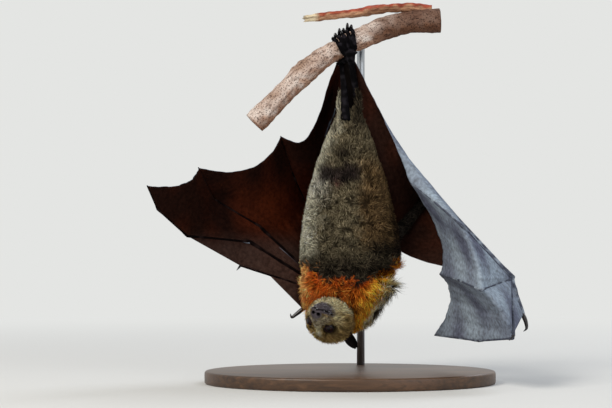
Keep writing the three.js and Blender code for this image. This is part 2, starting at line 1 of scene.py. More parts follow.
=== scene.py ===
"""Looks of a life-size, still, museum-style model of a grey-headed flying fox.

The bat hangs head down by its feet from a cut length of branch, which a plain display stand holds
up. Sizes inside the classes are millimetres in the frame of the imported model: +X to the right of
someone who faces the belly, +Y from the belly side to the back, +Z up. "left" and "right" are that
person's. Meshes are written out in metres.
"""

import logging
import math
from dataclasses import dataclass
from enum import Enum
from typing import Any, Callable, Sequence

import bmesh
import bpy
import numpy as np
from mathutils import Matrix, Vector
from mathutils.bvhtree import BVHTree


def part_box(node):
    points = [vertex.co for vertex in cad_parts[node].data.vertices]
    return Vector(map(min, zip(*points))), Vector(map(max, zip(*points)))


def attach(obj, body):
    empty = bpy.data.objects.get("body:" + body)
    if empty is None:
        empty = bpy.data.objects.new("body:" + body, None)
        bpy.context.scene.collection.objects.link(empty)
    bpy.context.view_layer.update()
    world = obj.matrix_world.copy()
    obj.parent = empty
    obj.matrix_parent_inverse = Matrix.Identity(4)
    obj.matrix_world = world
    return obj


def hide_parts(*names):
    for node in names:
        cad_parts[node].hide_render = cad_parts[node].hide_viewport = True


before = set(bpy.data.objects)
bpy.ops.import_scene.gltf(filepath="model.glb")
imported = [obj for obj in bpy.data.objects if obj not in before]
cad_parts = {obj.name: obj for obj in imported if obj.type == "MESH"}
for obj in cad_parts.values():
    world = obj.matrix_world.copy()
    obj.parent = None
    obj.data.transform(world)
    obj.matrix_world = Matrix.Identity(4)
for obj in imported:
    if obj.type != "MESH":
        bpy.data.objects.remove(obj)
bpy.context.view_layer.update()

LOG = logging.getLogger("flying_fox")
MM = 0.001
SEED = 1707
WHITE = 0xFFFFFF

Mesh = bpy.types.Mesh
Object = bpy.types.Object
Material = bpy.types.Material
Tree = bpy.types.NodeTree
Node = bpy.types.Node
Socket = bpy.types.NodeSocket
Array = np.ndarray
Surface = Callable[[Array, Array], Array]
Path = Callable[[Array], Array]


# ---------------------------------------------------------------- numbers, colours and curves


def unit(vectors: Array) -> Array:
    """Vectors scaled to length 1."""
    return vectors / np.maximum(np.linalg.norm(vectors, axis=-1, keepdims=True), 1e-9)


def ease(x: Array, low: float, high: float) -> Array:
    """Smooth step from 0 at low to 1 at high; high may be the smaller of the two."""
    t = np.clip((x - low) / (high - low), 0.0, 1.0)
    return t * t * (3.0 - 2.0 * t)


def tint(code: int) -> Array:
    """Linear colour of an sRGB hex value.

    Args:
        code: The colour as 0xRRGGBB.

    Returns:
        Three linear channels.
    """
    channels = np.array([(code >> shift) & 255 for shift in (16, 8, 0)]) / 255.0
    return np.where(channels <= 0.04045, channels / 12.92, ((channels + 0.055) / 1.055) ** 2.4)


def rgba(code: int) -> tuple[float, ...]:
    """The linear colour of an sRGB hex value, with alpha 1, for a shader's socket."""
    return (*tint(code), 1.0)


def blend(first: Array, second: Array, share: Array) -> Array:
    """Colours between two colours or lists of colours.

    Args:
        first: Colour at share 0.
        second: Colour at share 1.
        share: One share for each colour wanted.

    Returns:
        One colour for each share.
    """
    return first + (second - first) * share[:, None]


def plain(code: int, count: int) -> Array:
    """One colour, so many times."""
    return np.tile(tint(code), (count, 1))


def layered(base: Array, *layers: tuple[int, Array]) -> Array:
    """Colours laid over one another.

    Args:
        base: The lowest colours, one in each row.
        layers: The next ones in turn, each a hex value with one share for each row.

    Returns:
        The colours that show.
    """
    for code, share in layers:
        base = blend(base, tint(code), share)
    return base


def ripple(points: Array, wavelength: float, seed: int, count: int = 9) -> Array:
    """Smooth random values at points in space, mostly between -1 and 1.

    Args:
        points: Places, one in each row.
        wavelength: Size of a bump.
        seed: Which of the patterns.
        count: How many waves are added up.

    Returns:
        One value for each point.
    """
    rng = np.random.default_rng(seed)
    waves = unit(rng.normal(size=(count, 3))) * rng.uniform(0.6, 1.6, (count, 1)) * 2 * np.pi / wavelength
    phases = rng.uniform(0, 2 * np.pi, count)
    return np.sin(points @ waves.T + phases).sum(axis=1) * math.sqrt(2.0 / count) * 0.7


def stray(points: Array, wavelength: float, seed: int) -> Array:
    """Smooth random directions at points in space, from three ripples with seeds that follow on."""
    return np.stack([ripple(points, wavelength, seed + k) for k in range(3)], axis=1)


def along(points: Sequence[Sequence[float]]) -> Path:
    """Path of straight stretches, followed by length."""
    p = np.asarray(points, float)
    reach = np.concatenate([[0.0], np.cumsum(np.linalg.norm(np.diff(p, axis=0), axis=1))])
    return lambda t: np.stack([np.interp(t * reach[-1], reach, p[:, k]) for k in range(3)], axis=1)


def along_finger(points: Sequence[Sequence[float]]) -> Path:
    """Path along a finger, with its knuckle and middle joint at the same shares on every finger."""
    p = np.asarray(points, float)
    rest = len(p) - 3
    stops = [0.0, 0.4, 0.7] + [0.7 + 0.3 * (i + 1) / rest for i in range(rest)]
    return lambda t: np.stack([np.interp(t, stops, p[:, k]) for k in range(3)], axis=1)


def through(points: Sequence[Sequence[float]]) -> Path:
    """Smooth curve through a list of points, each stretch between two of them an equal share."""
    p = np.asarray(points, float)
    p = np.vstack([2 * p[0] - p[1], p, 2 * p[-1] - p[-2]])

    def at(t: Array) -> Array:
        """Points of the curve at shares of the whole."""
        x = np.clip(t, 0, 1) * (len(p) - 3)
        i = np.minimum(x.astype(int), len(p) - 4)
        w = (x - i)[:, None]
        before, start, end, after = (p[i + k] for k in range(4))
        pairs = ((before, start), (start, end), (end, after))
        gaps = (np.linalg.norm(b - a, axis=1, keepdims=True) for a, b in pairs)
        d0, d1, d2 = (np.maximum(gap, 1e-6) ** 0.5 for gap in gaps)
        m1 = ((start - before) / d0 - (end - before) / (d0 + d1) + (end - start) / d1) * d1
        m2 = ((end - start) / d1 - (after - start) / (d1 + d2) + (after - end) / d2) * d1
        bent = start + m1 * w + (3 * (end - start) - 2 * m1 - m2) * w**2
        return bent + (2 * (start - end) + m1 + m2) * w**3

    return at


def hollow_edge(start: Array, end: Array, towards: Array, sag: float) -> Path:
    """Free edge of a membrane between two tips, hollowed towards a third point."""
    middle = (start + end) / 2
    pull = middle - unit(middle - towards) * 2 * sag * np.linalg.norm(end - start)
    return lambda t: np.outer((1 - t) ** 2, start) + np.outer(2 * t * (1 - t), pull) + np.outer(t**2, end)


def four_sided(first: Path, second: Path, start: Path, end: Path) -> Surface:
    """Surface that fills four edges: the first two run with u at v 0 and 1, the others with v."""
    ends = np.array([0.0, 1.0])
    (a, b), (c, d) = first(ends), second(ends)

    def at(u: Array, v: Array) -> Array:
        """Points of the surface at u and v."""
        uu, vv = u[:, None], v[:, None]
        filled = (1 - vv) * first(u) + vv * second(u) + (1 - uu) * start(v) + uu * end(v)
        return filled - (1 - vv) * ((1 - uu) * a + uu * b) - vv * ((1 - uu) * c + uu * d)

    return at


def ruled(first: Path, second: Path) -> Surface:
    """Surface of straight rulings from one edge to another."""
    return lambda u, v: first(u) * (1 - v[:, None]) + second(u) * v[:, None]


def distance_to(points: Array, line: Array) -> Array:
    """Least distance from each point to a line of straight stretches."""
    best = np.full(len(points), np.inf)
    for a, b in zip(line[:-1], line[1:]):
        t = np.clip((points - a) @ (b - a) / np.dot(b - a, b - a), 0, 1)
        best = np.minimum(best, np.linalg.norm(points - a - t[:, None] * (b - a), axis=1))
    return best


# ---------------------------------------------------------------- meshes


def placed(mesh: Mesh, name: str, materials: Sequence[Material]) -> Object:
    """Puts a finished mesh in the scene, smooth, at the origin.

    Args:
        mesh: The mesh, in metres.
        name: Name of the piece.
        materials: Its materials, in the order of the faces' numbers.

    Returns:
        The new object.
    """
    mesh.name = name
    mesh.materials.clear()
    for material in materials:
        mesh.materials.append(material)
    mesh.shade_smooth()
    piece = bpy.data.objects.new(name, mesh)
    bpy.context.scene.collection.objects.link(piece)
    return piece


def part_of_bat(piece: Object, slot: str, *nodes: str) -> Object:
    """Rides a piece on the model's one body, hides the CAD nodes that it replaces and logs its triangles.

    Args:
        piece: The finished piece.
        slot: Not used.
        nodes: CAD nodes that it replaces.

    Returns:
        The same piece.
    """
    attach(piece, "root")
    if nodes:
        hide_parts(*nodes)
    LOG.info("%s: %d triangles", piece.name, sum(len(p.vertices) - 2 for p in piece.data.polygons))
    return piece


def rows_of(items: Any, key: str) -> Array:
    """One property of a mesh's items, three numbers in each row."""
    flat = np.empty(len(items) * 3, np.float32)
    items.foreach_get(key, flat)
    return flat.reshape(-1, 3).astype(float)


def corners(mesh: Mesh) -> Array:
    """A mesh's vertices in millimetres."""
    return rows_of(mesh.vertices, "co") / MM


def move_corners(mesh: Mesh, points: Array) -> None:
    """Writes a mesh's vertices, given in millimetres."""
    mesh.vertices.foreach_set("co", (points * MM).astype(np.float32).ravel())
    mesh.update()


def corner_normals(mesh: Mesh) -> Array:
    """A mesh's vertex normals."""
    return rows_of(mesh.vertex_normals, "vector")


def mesh_of(bm: bmesh.types.BMesh, name: str) -> Mesh:
    """A new mesh of what was built, which is then freed."""
    mesh = bpy.data.meshes.new(name)
    bm.to_mesh(mesh)
    bm.free()
    return mesh


def worked_out(carrier: Object) -> Mesh:
    """The mesh that an object ends up with by its own settings, without the object."""
    bpy.context.scene.collection.objects.link(carrier)
    mesh = bpy.data.meshes.new_from_object(carrier.evaluated_get(bpy.context.evaluated_depsgraph_get()))
    bpy.data.objects.remove(carrier)
    return mesh


def paint(mesh: Mesh, colours: Array) -> None:
    """Writes the colour attribute Coat, one linear colour for each vertex."""
    layer = mesh.color_attributes.get("Coat") or mesh.color_attributes.new("Coat", "FLOAT_COLOR", "POINT")
    full = np.hstack([np.clip(colours, 0, 1), np.ones((len(colours), 1))])
    layer.data.foreach_set("color", full.astype(np.float32).ravel())


def smoothed(mesh: Mesh, passes: int, factor: float = 0.5) -> None:
    """Smooths a mesh in place."""
    bm = bmesh.new()
    bm.from_mesh(mesh)
    for _ in range(passes):
        bmesh.ops.smooth_vert(
            bm, verts=bm.verts, factor=factor, use_axis_x=True, use_axis_y=True, use_axis_z=True)
    bm.to_mesh(mesh)
    bm.free()


def cast_of(nodes: Sequence[str], voxel: float, passes: int) -> Mesh:
    """One closed smooth skin round CAD nodes.

    Args:
        nodes: Names of the nodes, which may touch or overlap.
        voxel: Size of its squares in millimetres.
        passes: How often it is smoothed.

    Returns:
        The mesh, in metres.
    """
    bm = bmesh.new()
    for node in nodes:
        bm.from_mesh(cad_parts[node].data)
    bmesh.ops.remove_doubles(bm, verts=bm.verts, dist=1e-6)
    carrier = bpy.data.objects.new("rough", mesh_of(bm, "rough"))
    remesh = carrier.modifiers.new("remesh", "REMESH")
    remesh.mode = "VOXEL"
    remesh.voxel_size = voxel * MM
    cast = worked_out(carrier)
    cast.materials.clear()
    smoothed(cast, passes)
    return cast


def tube(points: Array, radii: Array, sides: int = 10) -> Mesh:
    """Round tube with closed ends.

    Args:
        points: Its centre line, in millimetres.
        radii: Its radius at each point.
        sides: How many sides it has, an even number.

    Returns:
        The mesh, in metres.
    """
    curve = bpy.data.curves.new("tube", "CURVE")
    curve.dimensions = "3D"
    curve.bevel_depth = 1.0
    curve.bevel_resolution = (sides - 4) // 2
    curve.use_fill_caps = True
    spline = curve.splines.new("POLY")
    spline.points.add(len(points) - 1)
    spline.points.foreach_set("co", np.hstack([points * MM, np.ones((len(points), 1))]).ravel())
    spline.points.foreach_set("radius", np.asarray(radii, float) * MM)
    mesh = worked_out(bpy.data.objects.new("tube", curve))
    bm = bmesh.new()
    bm.from_mesh(mesh)
    bmesh.ops.remove_doubles(bm, verts=bm.verts, dist=1e-7)
    bmesh.ops.recalc_face_normals(bm, faces=bm.faces)
    bm.to_mesh(mesh)
    bm.free()
    return mesh


def limb(path: Path, steps: int, stops: Sequence[float], radii: Sequence[float], sides: int) -> Mesh:
    """Round tube along a path, whose thickness changes on the way.

    Args:
        path: Its centre line.
        steps: How many points it has along it.
        stops: Places from 0 to 1.
        radii: The radius at each of them, in millimetres.
        sides: How many sides it has, an even number.

    Returns:
        The mesh, in metres.
    """
    t = np.linspace(0, 1, steps)
    return tube(path(t), np.interp(t, stops, radii), sides)


def joined(parts: Sequence[Mesh]) -> Mesh:
    """Several meshes as one, with the number of each face's material kept."""
    bm = bmesh.new()
    bm.verts.layers.float_color.new("Coat")
    bm.loops.layers.uv.new("Lay")
    for part in parts:
        bm.from_mesh(part)
    return mesh_of(bm, "joined")


def wear(mesh: Mesh, number: int) -> None:
    """Gives every face of a mesh one material number."""
    mesh.polygons.foreach_set("material_index", np.full(len(mesh.polygons), number, np.int32))


# ---------------------------------------------------------------- materials


def add_node(tree: Tree, kind: str, **settings: Any) -> Node:
    """Adds a shader node with its settings and links.

    Args:
        tree: The material's or world's node tree.
        kind: Blender's name of the node, without "ShaderNode".
        settings: Properties by name, and inputs by name with spaces as underscores. An input given
            as an output socket is linked. A name that starts with "n" and a number is that input.

    Returns:
        The new node.
    """
    node = tree.nodes.new("ShaderNode" + kind)
    for key, value in settings.items():
        if hasattr(node, key):
            setattr(node, key, value)
            continue
        spot = int(key[1:]) if key[0] == "n" and key[1:].isdigit() else key.replace("_", " ")
        if isinstance(value, Socket):
            tree.links.new(value, node.inputs[spot])
        else:
            node.inputs[spot].default_value = value
    return node


def new_material(name: str) -> tuple[Material, Tree, Node]:
    """An empty material with its node tree and its one Principled shader."""
    material = bpy.data.materials.new(name)
    material.use_nodes = True
    tree = material.node_tree
    tree.nodes.clear()
    shader = add_node(tree, "BsdfPrincipled")
    add_node(tree, "OutputMaterial", Surface=shader.outputs[0])
    return material, tree, shader


def set_inputs(tree: Tree, shader: Node, **values: Any) -> None:
    """Sets or links a shader's inputs by name, with spaces as underscores."""
    for key, value in values.items():
        spot = shader.inputs[key.replace("_", " ")]
        if isinstance(value, Socket):
            tree.links.new(value, spot)
        else:
            spot.default_value = value


def scaled_noise(tree: Tree, size: float, stretch: Sequence[float] = (1, 1, 1), **more: Any) -> Socket:
    """Noise whose bumps are a given size in millimetres, drawn out along the axes by stretch."""
    place = add_node(tree, "TexCoord").outputs["Object"]
    mapping = add_node(tree, "Mapping", Vector=place, Scale=[1 / s for s in stretch])
    return add_node(tree, "TexNoise", Vector=mapping.outputs[0], Scale=1000.0 / size, **more).outputs["Fac"]


def lay_noise(tree: Tree, first: float, second: float, **more: Any) -> Socket:
    """Noise on the piece's own map, repeated so often along the map's first and second way."""
    lay = add_node(tree, "UVMap", uv_map="Lay").outputs["UV"]
    mapping = add_node(tree, "Mapping", Vector=lay, Scale=(first, second, 1))
    return add_node(tree, "TexNoise", Vector=mapping.outputs[0], Scale=1.0, **more).outputs["Fac"]


def coat_colour(tree: Tree) -> Socket:
    """The colour that is written into the piece, one for each vertex."""
    return add_node(tree, "VertexColor", layer_name="Coat").outputs["Color"]


def multiplied(tree: Tree, first: Socket, second: Socket, share: float = 1.0) -> Socket:
    """The first colour, darkened by the second to a share."""
    node = add_node(tree, "Mix", data_type="RGBA", blend_type="MULTIPLY", n0=share, n6=first, n7=second)
    return node.outputs[2]


def weighed(tree: Tree, first: Socket, weight: float, second: Socket) -> Socket:
    """The first value times its weight, plus the second value."""
    return add_node(tree, "Math", operation="MULTIPLY_ADD", n0=first, n1=weight, n2=second).outputs[0]


def bumped(tree: Tree, height: Socket, strength: float, depth: float) -> Socket:
    """Normals of a fine relief, so many millimetres deep."""
    return add_node(tree, "Bump", Strength=strength, Distance=depth * MM, Height=height).outputs[0]


def ramp(tree: Tree, factor: Socket, stops: Sequence[tuple[float, int]]) -> Socket:
    """Colour ramp through sRGB hex values.

    Args:
        tree: The node tree.
        factor: What it reads.
        stops: Places from 0 to 1, each with its colour.

    Returns:
        The colour output.
    """
    node = add_node(tree, "ValToRGB", Fac=factor)
    elements = node.color_ramp.elements
    while len(elements) < len(stops):
        elements.new(0.5)
    for element, (place, code) in zip(elements, stops):
        element.position = place
        element.color = rgba(code)
    return node.outputs["Color"]


@dataclass(frozen=True)
class CoatFinish:
    """Animal hair in fine tufts: dull and deep."""

    roughness: float = 0.7
    specular: float = 0.03

    def make(self) -> Material:
        """Builds the material, which takes its colour from the tufts' own attribute."""
        material, tree, shader = new_material("bat_hair")
        set_inputs(tree, shader, Base_Color=coat_colour(tree), Roughness=self.roughness,
                   Specular_IOR_Level=self.specular)
        return material


@dataclass(frozen=True)
class SkinFinish:
    """Living skin, bare or under the hair: fine grain and small wrinkles, slightly oily where bare.

    Grain, wrinkle and depth are in millimetres.
    """

    name: str
    roughness: float
    grain: float
    wrinkle: float
    depth: float
    specular: float = 0.2
    mottle: int = 0xb9b4b2

    def make(self) -> Material:
        """Builds the material, coloured by the skin's attribute with a fine mottle."""
        material, tree, shader = new_material(self.name)
        mottle = scaled_noise(tree, self.grain * 4, Detail=4.0)
        shade = ramp(tree, mottle, [(0.3, self.mottle), (0.7, WHITE)])
        fine = scaled_noise(tree, self.grain, Detail=3.0)
        fold = scaled_noise(tree, self.wrinkle, (1, 1, 2.5), Detail=2.0)
        normal = bumped(tree, weighed(tree, fine, 1.0, fold), 0.6, self.depth)
        set_inputs(tree, shader, Base_Color=multiplied(tree, coat_colour(tree), shade),
                   Roughness=self.roughness, Specular_IOR_Level=self.specular, Normal=normal)
        return material


@dataclass(frozen=True)
class MembraneFinish:
    """Wing membrane: thin elastic skin with close lengthwise fibres and a satin face."""

    name: str
    roughness: float
    streak_dark: int
    specular: float
    spot: int = 0xdcd7d5
    depth: float = 0.9

    def make(self) -> Material:
        """Builds the material, whose streaks follow the sheet from the arm to the free edge."""
        material, tree, shader = new_material(self.name)
        streaks = lay_noise(tree, 22, 1.6, Detail=4.0, Distortion=0.4)
        fibres = lay_noise(tree, 95, 4, Detail=3.0, Distortion=0.3)
        shade = ramp(tree, streaks, [(0.32, self.streak_dark), (0.62, WHITE)])
        spots = ramp(tree, scaled_noise(tree, 9.0, Detail=5.0), [(0.3, self.spot), (0.65, WHITE)])
        colour = multiplied(tree, multiplied(tree, coat_colour(tree), shade), spots)
        ridges = weighed(tree, fibres, 1.6, streaks)
        height = weighed(tree, scaled_noise(tree, 1.2, Detail=3.0), 0.5, ridges)
        set_inputs(tree, shader, Base_Color=colour, Roughness=self.roughness,
                   Specular_IOR_Level=self.specular, Normal=bumped(tree, height, 0.7, self.depth))
        return material


@dataclass(frozen=True)
class HornFinish:
    """Claw horn: polished by use, black, with faint growth lines."""

    colour: int = 0x0d0b0c
    line: int = 0x241e1d
    roughness: float = 0.24
    depth: float = 0.1

    def make(self) -> Material:
        """Builds the material."""
        material, tree, shader = new_material("claw_horn")
        lines = scaled_noise(tree, 0.8, (1, 1, 4), Detail=2.0)
        colour = ramp(tree, lines, [(0.3, self.colour), (0.8, self.line)])
        set_inputs(tree, shader, Base_Color=colour, Roughness=self.roughness,
                   Normal=bumped(tree, lines, 0.3, self.depth))
        return material


@dataclass(frozen=True)
class EyeFinish:
    """Wet eyeball: dark brown iris round a black pupil, under a clear cornea."""

    pupil: int = 0x040202
    iris: int = 0x26120a
    iris_edge: int = 0x180b07
    rim: int = 0x080505
    roughness: float = 0.3
    specular: float = 0.1
    cornea: float = 0.3
    cornea_roughness: float = 0.04

    def make(self) -> Material:
        """Builds the material, which reads how far round the ball a point is from the gaze."""
        material, tree, shader = new_material("eye_wet")
        turn = add_node(tree, "Attribute", attribute_name="Gaze").outputs["Fac"]
        colour = ramp(tree, turn, [(0.0, self.pupil), (0.2, self.pupil), (0.26, self.iris),
                                   (0.5, self.iris_edge), (0.62, self.rim)])
        set_inputs(tree, shader, Base_Color=colour, Roughness=self.roughness,
                   Specular_IOR_Level=self.specular, Coat_Weight=self.cornea,
                   Coat_Roughness=self.cornea_roughness)
        return material


@dataclass(frozen=True)
class BarkFinish:
    """Smooth gum bark: pinkish grey with fine brown specks and lengthwise cracks, times the colour painted on
    the branch: painted shade, darker and browner, on its lower side, and a darker right end.
    """

    pale: int = 0xe2d4ca
    middle: int = 0xc4ad9f
    deep: int = 0xa08472
    speck: int = 0x4a352b
    crack: int = 0x7d6252
    speck_gap: float = 1.9
    patch: float = 22
    roughness: float = 0.88
    specular: float = 0.2
    depth: float = 1.2

    def make(self) -> Material:
        """Builds the material; the grain runs along the branch by the piece's own map."""
        material, tree, shader = new_material("gum_bark")
        cracks = lay_noise(tree, 26, 9, Detail=6.0, Roughness=0.6, Distortion=0.6)
        patches = scaled_noise(tree, self.patch, Detail=5.0)
        place = add_node(tree, "TexCoord").outputs["Object"]
        specks = add_node(tree, "TexVoronoi", Vector=place, Scale=1000.0 / self.speck_gap).outputs["Distance"]
        ground = ramp(tree, patches, [(0.32, self.deep), (0.48, self.middle), (0.66, self.pale)])
        dots = ramp(tree, specks, [(0.2, self.speck), (0.42, WHITE)])
        lines = ramp(tree, cracks, [(0.34, self.crack), (0.5, WHITE)])
        colour = multiplied(tree, multiplied(tree, ground, dots, 0.85), lines, 0.7)
        normal = bumped(tree, weighed(tree, specks, 0.5, cracks), 0.8, self.depth)
        set_inputs(tree, shader, Base_Color=multiplied(tree, colour, coat_colour(tree)),
                   Roughness=self.roughness, Specular_IOR_Level=self.specular, Normal=normal)
        return material


@dataclass(frozen=True)
class CutWoodFinish:
    """Sawn end grain: pale heartwood with darker rings round the pith."""

    dark: int = 0xa98560
    light: int = 0xd6bd95
    rings: float = 8.0
    roughness: float = 0.85
    depth: float = 0.3

    def make(self) -> Material:
        """Builds the material; the rings lie round the middle of the cut's own map."""
        material, tree, shader = new_material("cut_end_grain")
        lay = add_node(tree, "UVMap", uv_map="Lay").outputs["UV"]
        wave = add_node(tree, "TexWave", Vector=lay, wave_type="RINGS", rings_direction="SPHERICAL",
                        Scale=self.rings, Distortion=1.2, Detail=2.0).outputs["Fac"]
        colour = ramp(tree, wave, [(0.0, self.dark), (1.0, self.light)])
        set_inputs(tree, shader, Base_Color=colour, Roughness=self.roughness,
                   Normal=bumped(tree, wave, 0.4, self.depth))
        return material


@dataclass(frozen=True)
class PeelFinish:
    """Curled strip of peeled bark: rust on its outer edge, tan fibres, cream where it tore."""

    rust: int = 0xa8492c
    tan: int = 0xb98a68
    cream: int = 0xe6d6b4
    fibre: int = 0x8a6a58
    roughness: float = 0.85
    depth: float = 0.8

    def make(self) -> Material:
        """Builds the material; the strip's attribute says where it is rust, tan or cream."""
        material, tree, shader = new_material("peeled_bark")
        fibres = lay_noise(tree, 12, 5, Detail=6.0)
        shade = ramp(tree, fibres, [(0.35, self.fibre), (0.6, WHITE)])
        set_inputs(tree, shader, Base_Color=multiplied(tree, coat_colour(tree), shade, 0.8),
                   Roughness=self.roughness, Normal=bumped(tree, fibres, 0.8, self.depth))
        return material


@dataclass(frozen=True)
class OiledWoodFinish:
    """Dark oiled walnut plate: long straight grain, satin, slightly proud pores."""

    dark: int = 0x2e1e14
    middle: int = 0x49321f
    light: int = 0x5d412b
    grain: float = 4.0
    roughness: float = 0.42
    depth: float = 0.2

    def make(self) -> Material:
        """Builds the material; the grain runs along the plate's long axis."""
        material, tree, shader = new_material("oiled_walnut")
        grain = scaled_noise(tree, self.grain, (14, 1, 1), Detail=6.0, Roughness=0.6, Distortion=0.5)
        broad = scaled_noise(tree, 30.0, (6, 1, 1), Detail=2.0)
        colour = ramp(tree, weighed(tree, broad, 0.5, grain),
                      [(0.5, self.dark), (0.75, self.middle), (0.95, self.light)])
        set_inputs(tree, shader, Base_Color=colour, Roughness=self.roughness,
                   Normal=bumped(tree, grain, 0.25, self.depth))
        return material


@dataclass(frozen=True)
class BrushedSteelFinish:
    """Stainless rod: grey metal with fine lines, brushed along its upright length."""

    colour: int = 0xa9adb1
    line: float = 0.6
    smoothest: float = 0.28
    roughest: float = 0.42
    depth: float = 0.05

    def make(self) -> Material:
        """Builds the material."""
        material, tree, shader = new_material("brushed_steel")
        lines = scaled_noise(tree, self.line, (1, 1, 40), Detail=2.0)
        rough = add_node(tree, "MapRange", Value=lines, n3=self.smoothest, n4=self.roughest).outputs[0]
        set_inputs(tree, shader, Base_Color=rgba(self.colour), Metallic=1.0, Roughness=rough,
                   Normal=bumped(tree, lines, 0.15, self.depth))
        return material


# ---------------------------------------------------------------- coat: markings and lie


class Side(Enum):
    """The two sides of the bat, as someone who faces the belly sees them."""

    LEFT = "left"
    RIGHT = "right"

    @property
    def sign(self) -> int:
        """-1 to the left, 1 to the right."""
        return 1 if self is Side.RIGHT else -1


@dataclass(frozen=True)
class HeadFrame:
    """Where the head is: x across, y to the muzzle, z to the crown, in its own frame."""

    at: tuple[float, float, float] = (-22.3, -25, 70.6)
    yaw: float = 24
    pitch: float = 5
    roll: float = 20

    @property
    def matrix(self) -> Array:
        """The head's placement, as a 4x4 array."""
        turn = [Matrix.Rotation(math.radians(a), 4, axis) for a, axis in
                ((self.roll, "Y"), (-self.yaw, "Z"), (self.pitch + 180, "X"))]
        return np.array(Matrix.Translation(self.at) @ turn[0] @ turn[1] @ turn[2])

    def to_head(self, points: Array) -> Array:
        """Points of the model's frame in the head's."""
        m = self.matrix
        return (points - m[:3, 3]) @ m[:3, :3]

    def to_world(self, points: Array) -> Array:
        """Points of the head's frame in the model's."""
        m = self.matrix
        return points @ m[:3, :3].T + m[:3, 3]

    def turned(self, vectors: Array) -> Array:
        """Directions of the head's frame in the model's."""
        return vectors @ self.matrix[:3, :3].T


HEAD = HeadFrame()
EYE = np.array([10.6, 22, 4.4])
EYE_RADIUS = 5.6
EYE_OPENING = (50.0, 33.0)
GAZE = np.array([0.42, 0.84, 0.33])
MOUTH = np.array(
    [[0, 43.6, -11.8], [4.5, 41.0, -12.6], [8.6, 36, -12.6], [11.2, 31.5, -12.2], [12.6, 28.5, -11.6]])
NOSTRIL = np.array([3.1, 43.4, -7.6])
BODY_TURN = math.radians(15)


def mirrored(points: Array) -> Array:
    """Places in the head's own frame, with the left half's brought over to the right."""
    return np.stack([np.abs(points[:, 0]), points[:, 1], points[:, 2]], axis=1)


def nostril_gap(half: Array) -> Array:
    """Distance from mirrored places to the nostril, less along its long and deep ways."""
    return np.linalg.norm((half - NOSTRIL) * [0.85, 0.5, 1], axis=1)


def across_body(points: Array) -> tuple[Array, Array]:
    """Places across the bat's own body and from its belly to its back."""
    c, s = math.cos(BODY_TURN), math.sin(BODY_TURN)
    return points[:, 0] * c - points[:, 1] * s, points[:, 0] * s + points[:, 1] * c


def mantle_edge(points: Array) -> Array:
    """Height at which the rust mantle meets the grey belly, above each place."""
    jag = 2.5 * ripple(points, 14, 31) + 2.0 * ripple(points, 6, 32)
    return 113 + 0.0075 * (points[:, 0] + 3) ** 2 + 3 * ease(points[:, 0], 36, 54) + jag


def mantle_side(points: Array) -> Array:
    """Distance from each place to the mantle's slanting right edge, beyond which the dark back shows."""
    x, z = points[:, 0], points[:, 2]
    return 8 + 0.57 * (z - 53) + 6 * ease(z, 106, 120) + 1.5 * ripple(points, 9, 38) - x


def in_mantle(points: Array) -> Array:
    """How far places belong to the mantle, which ends above the belly and fades out over the back."""
    edge = mantle_edge(points)
    return ease(points[:, 2], edge + 1.5, edge - 1.5) * ease(across_body(points)[1], 56, 44)


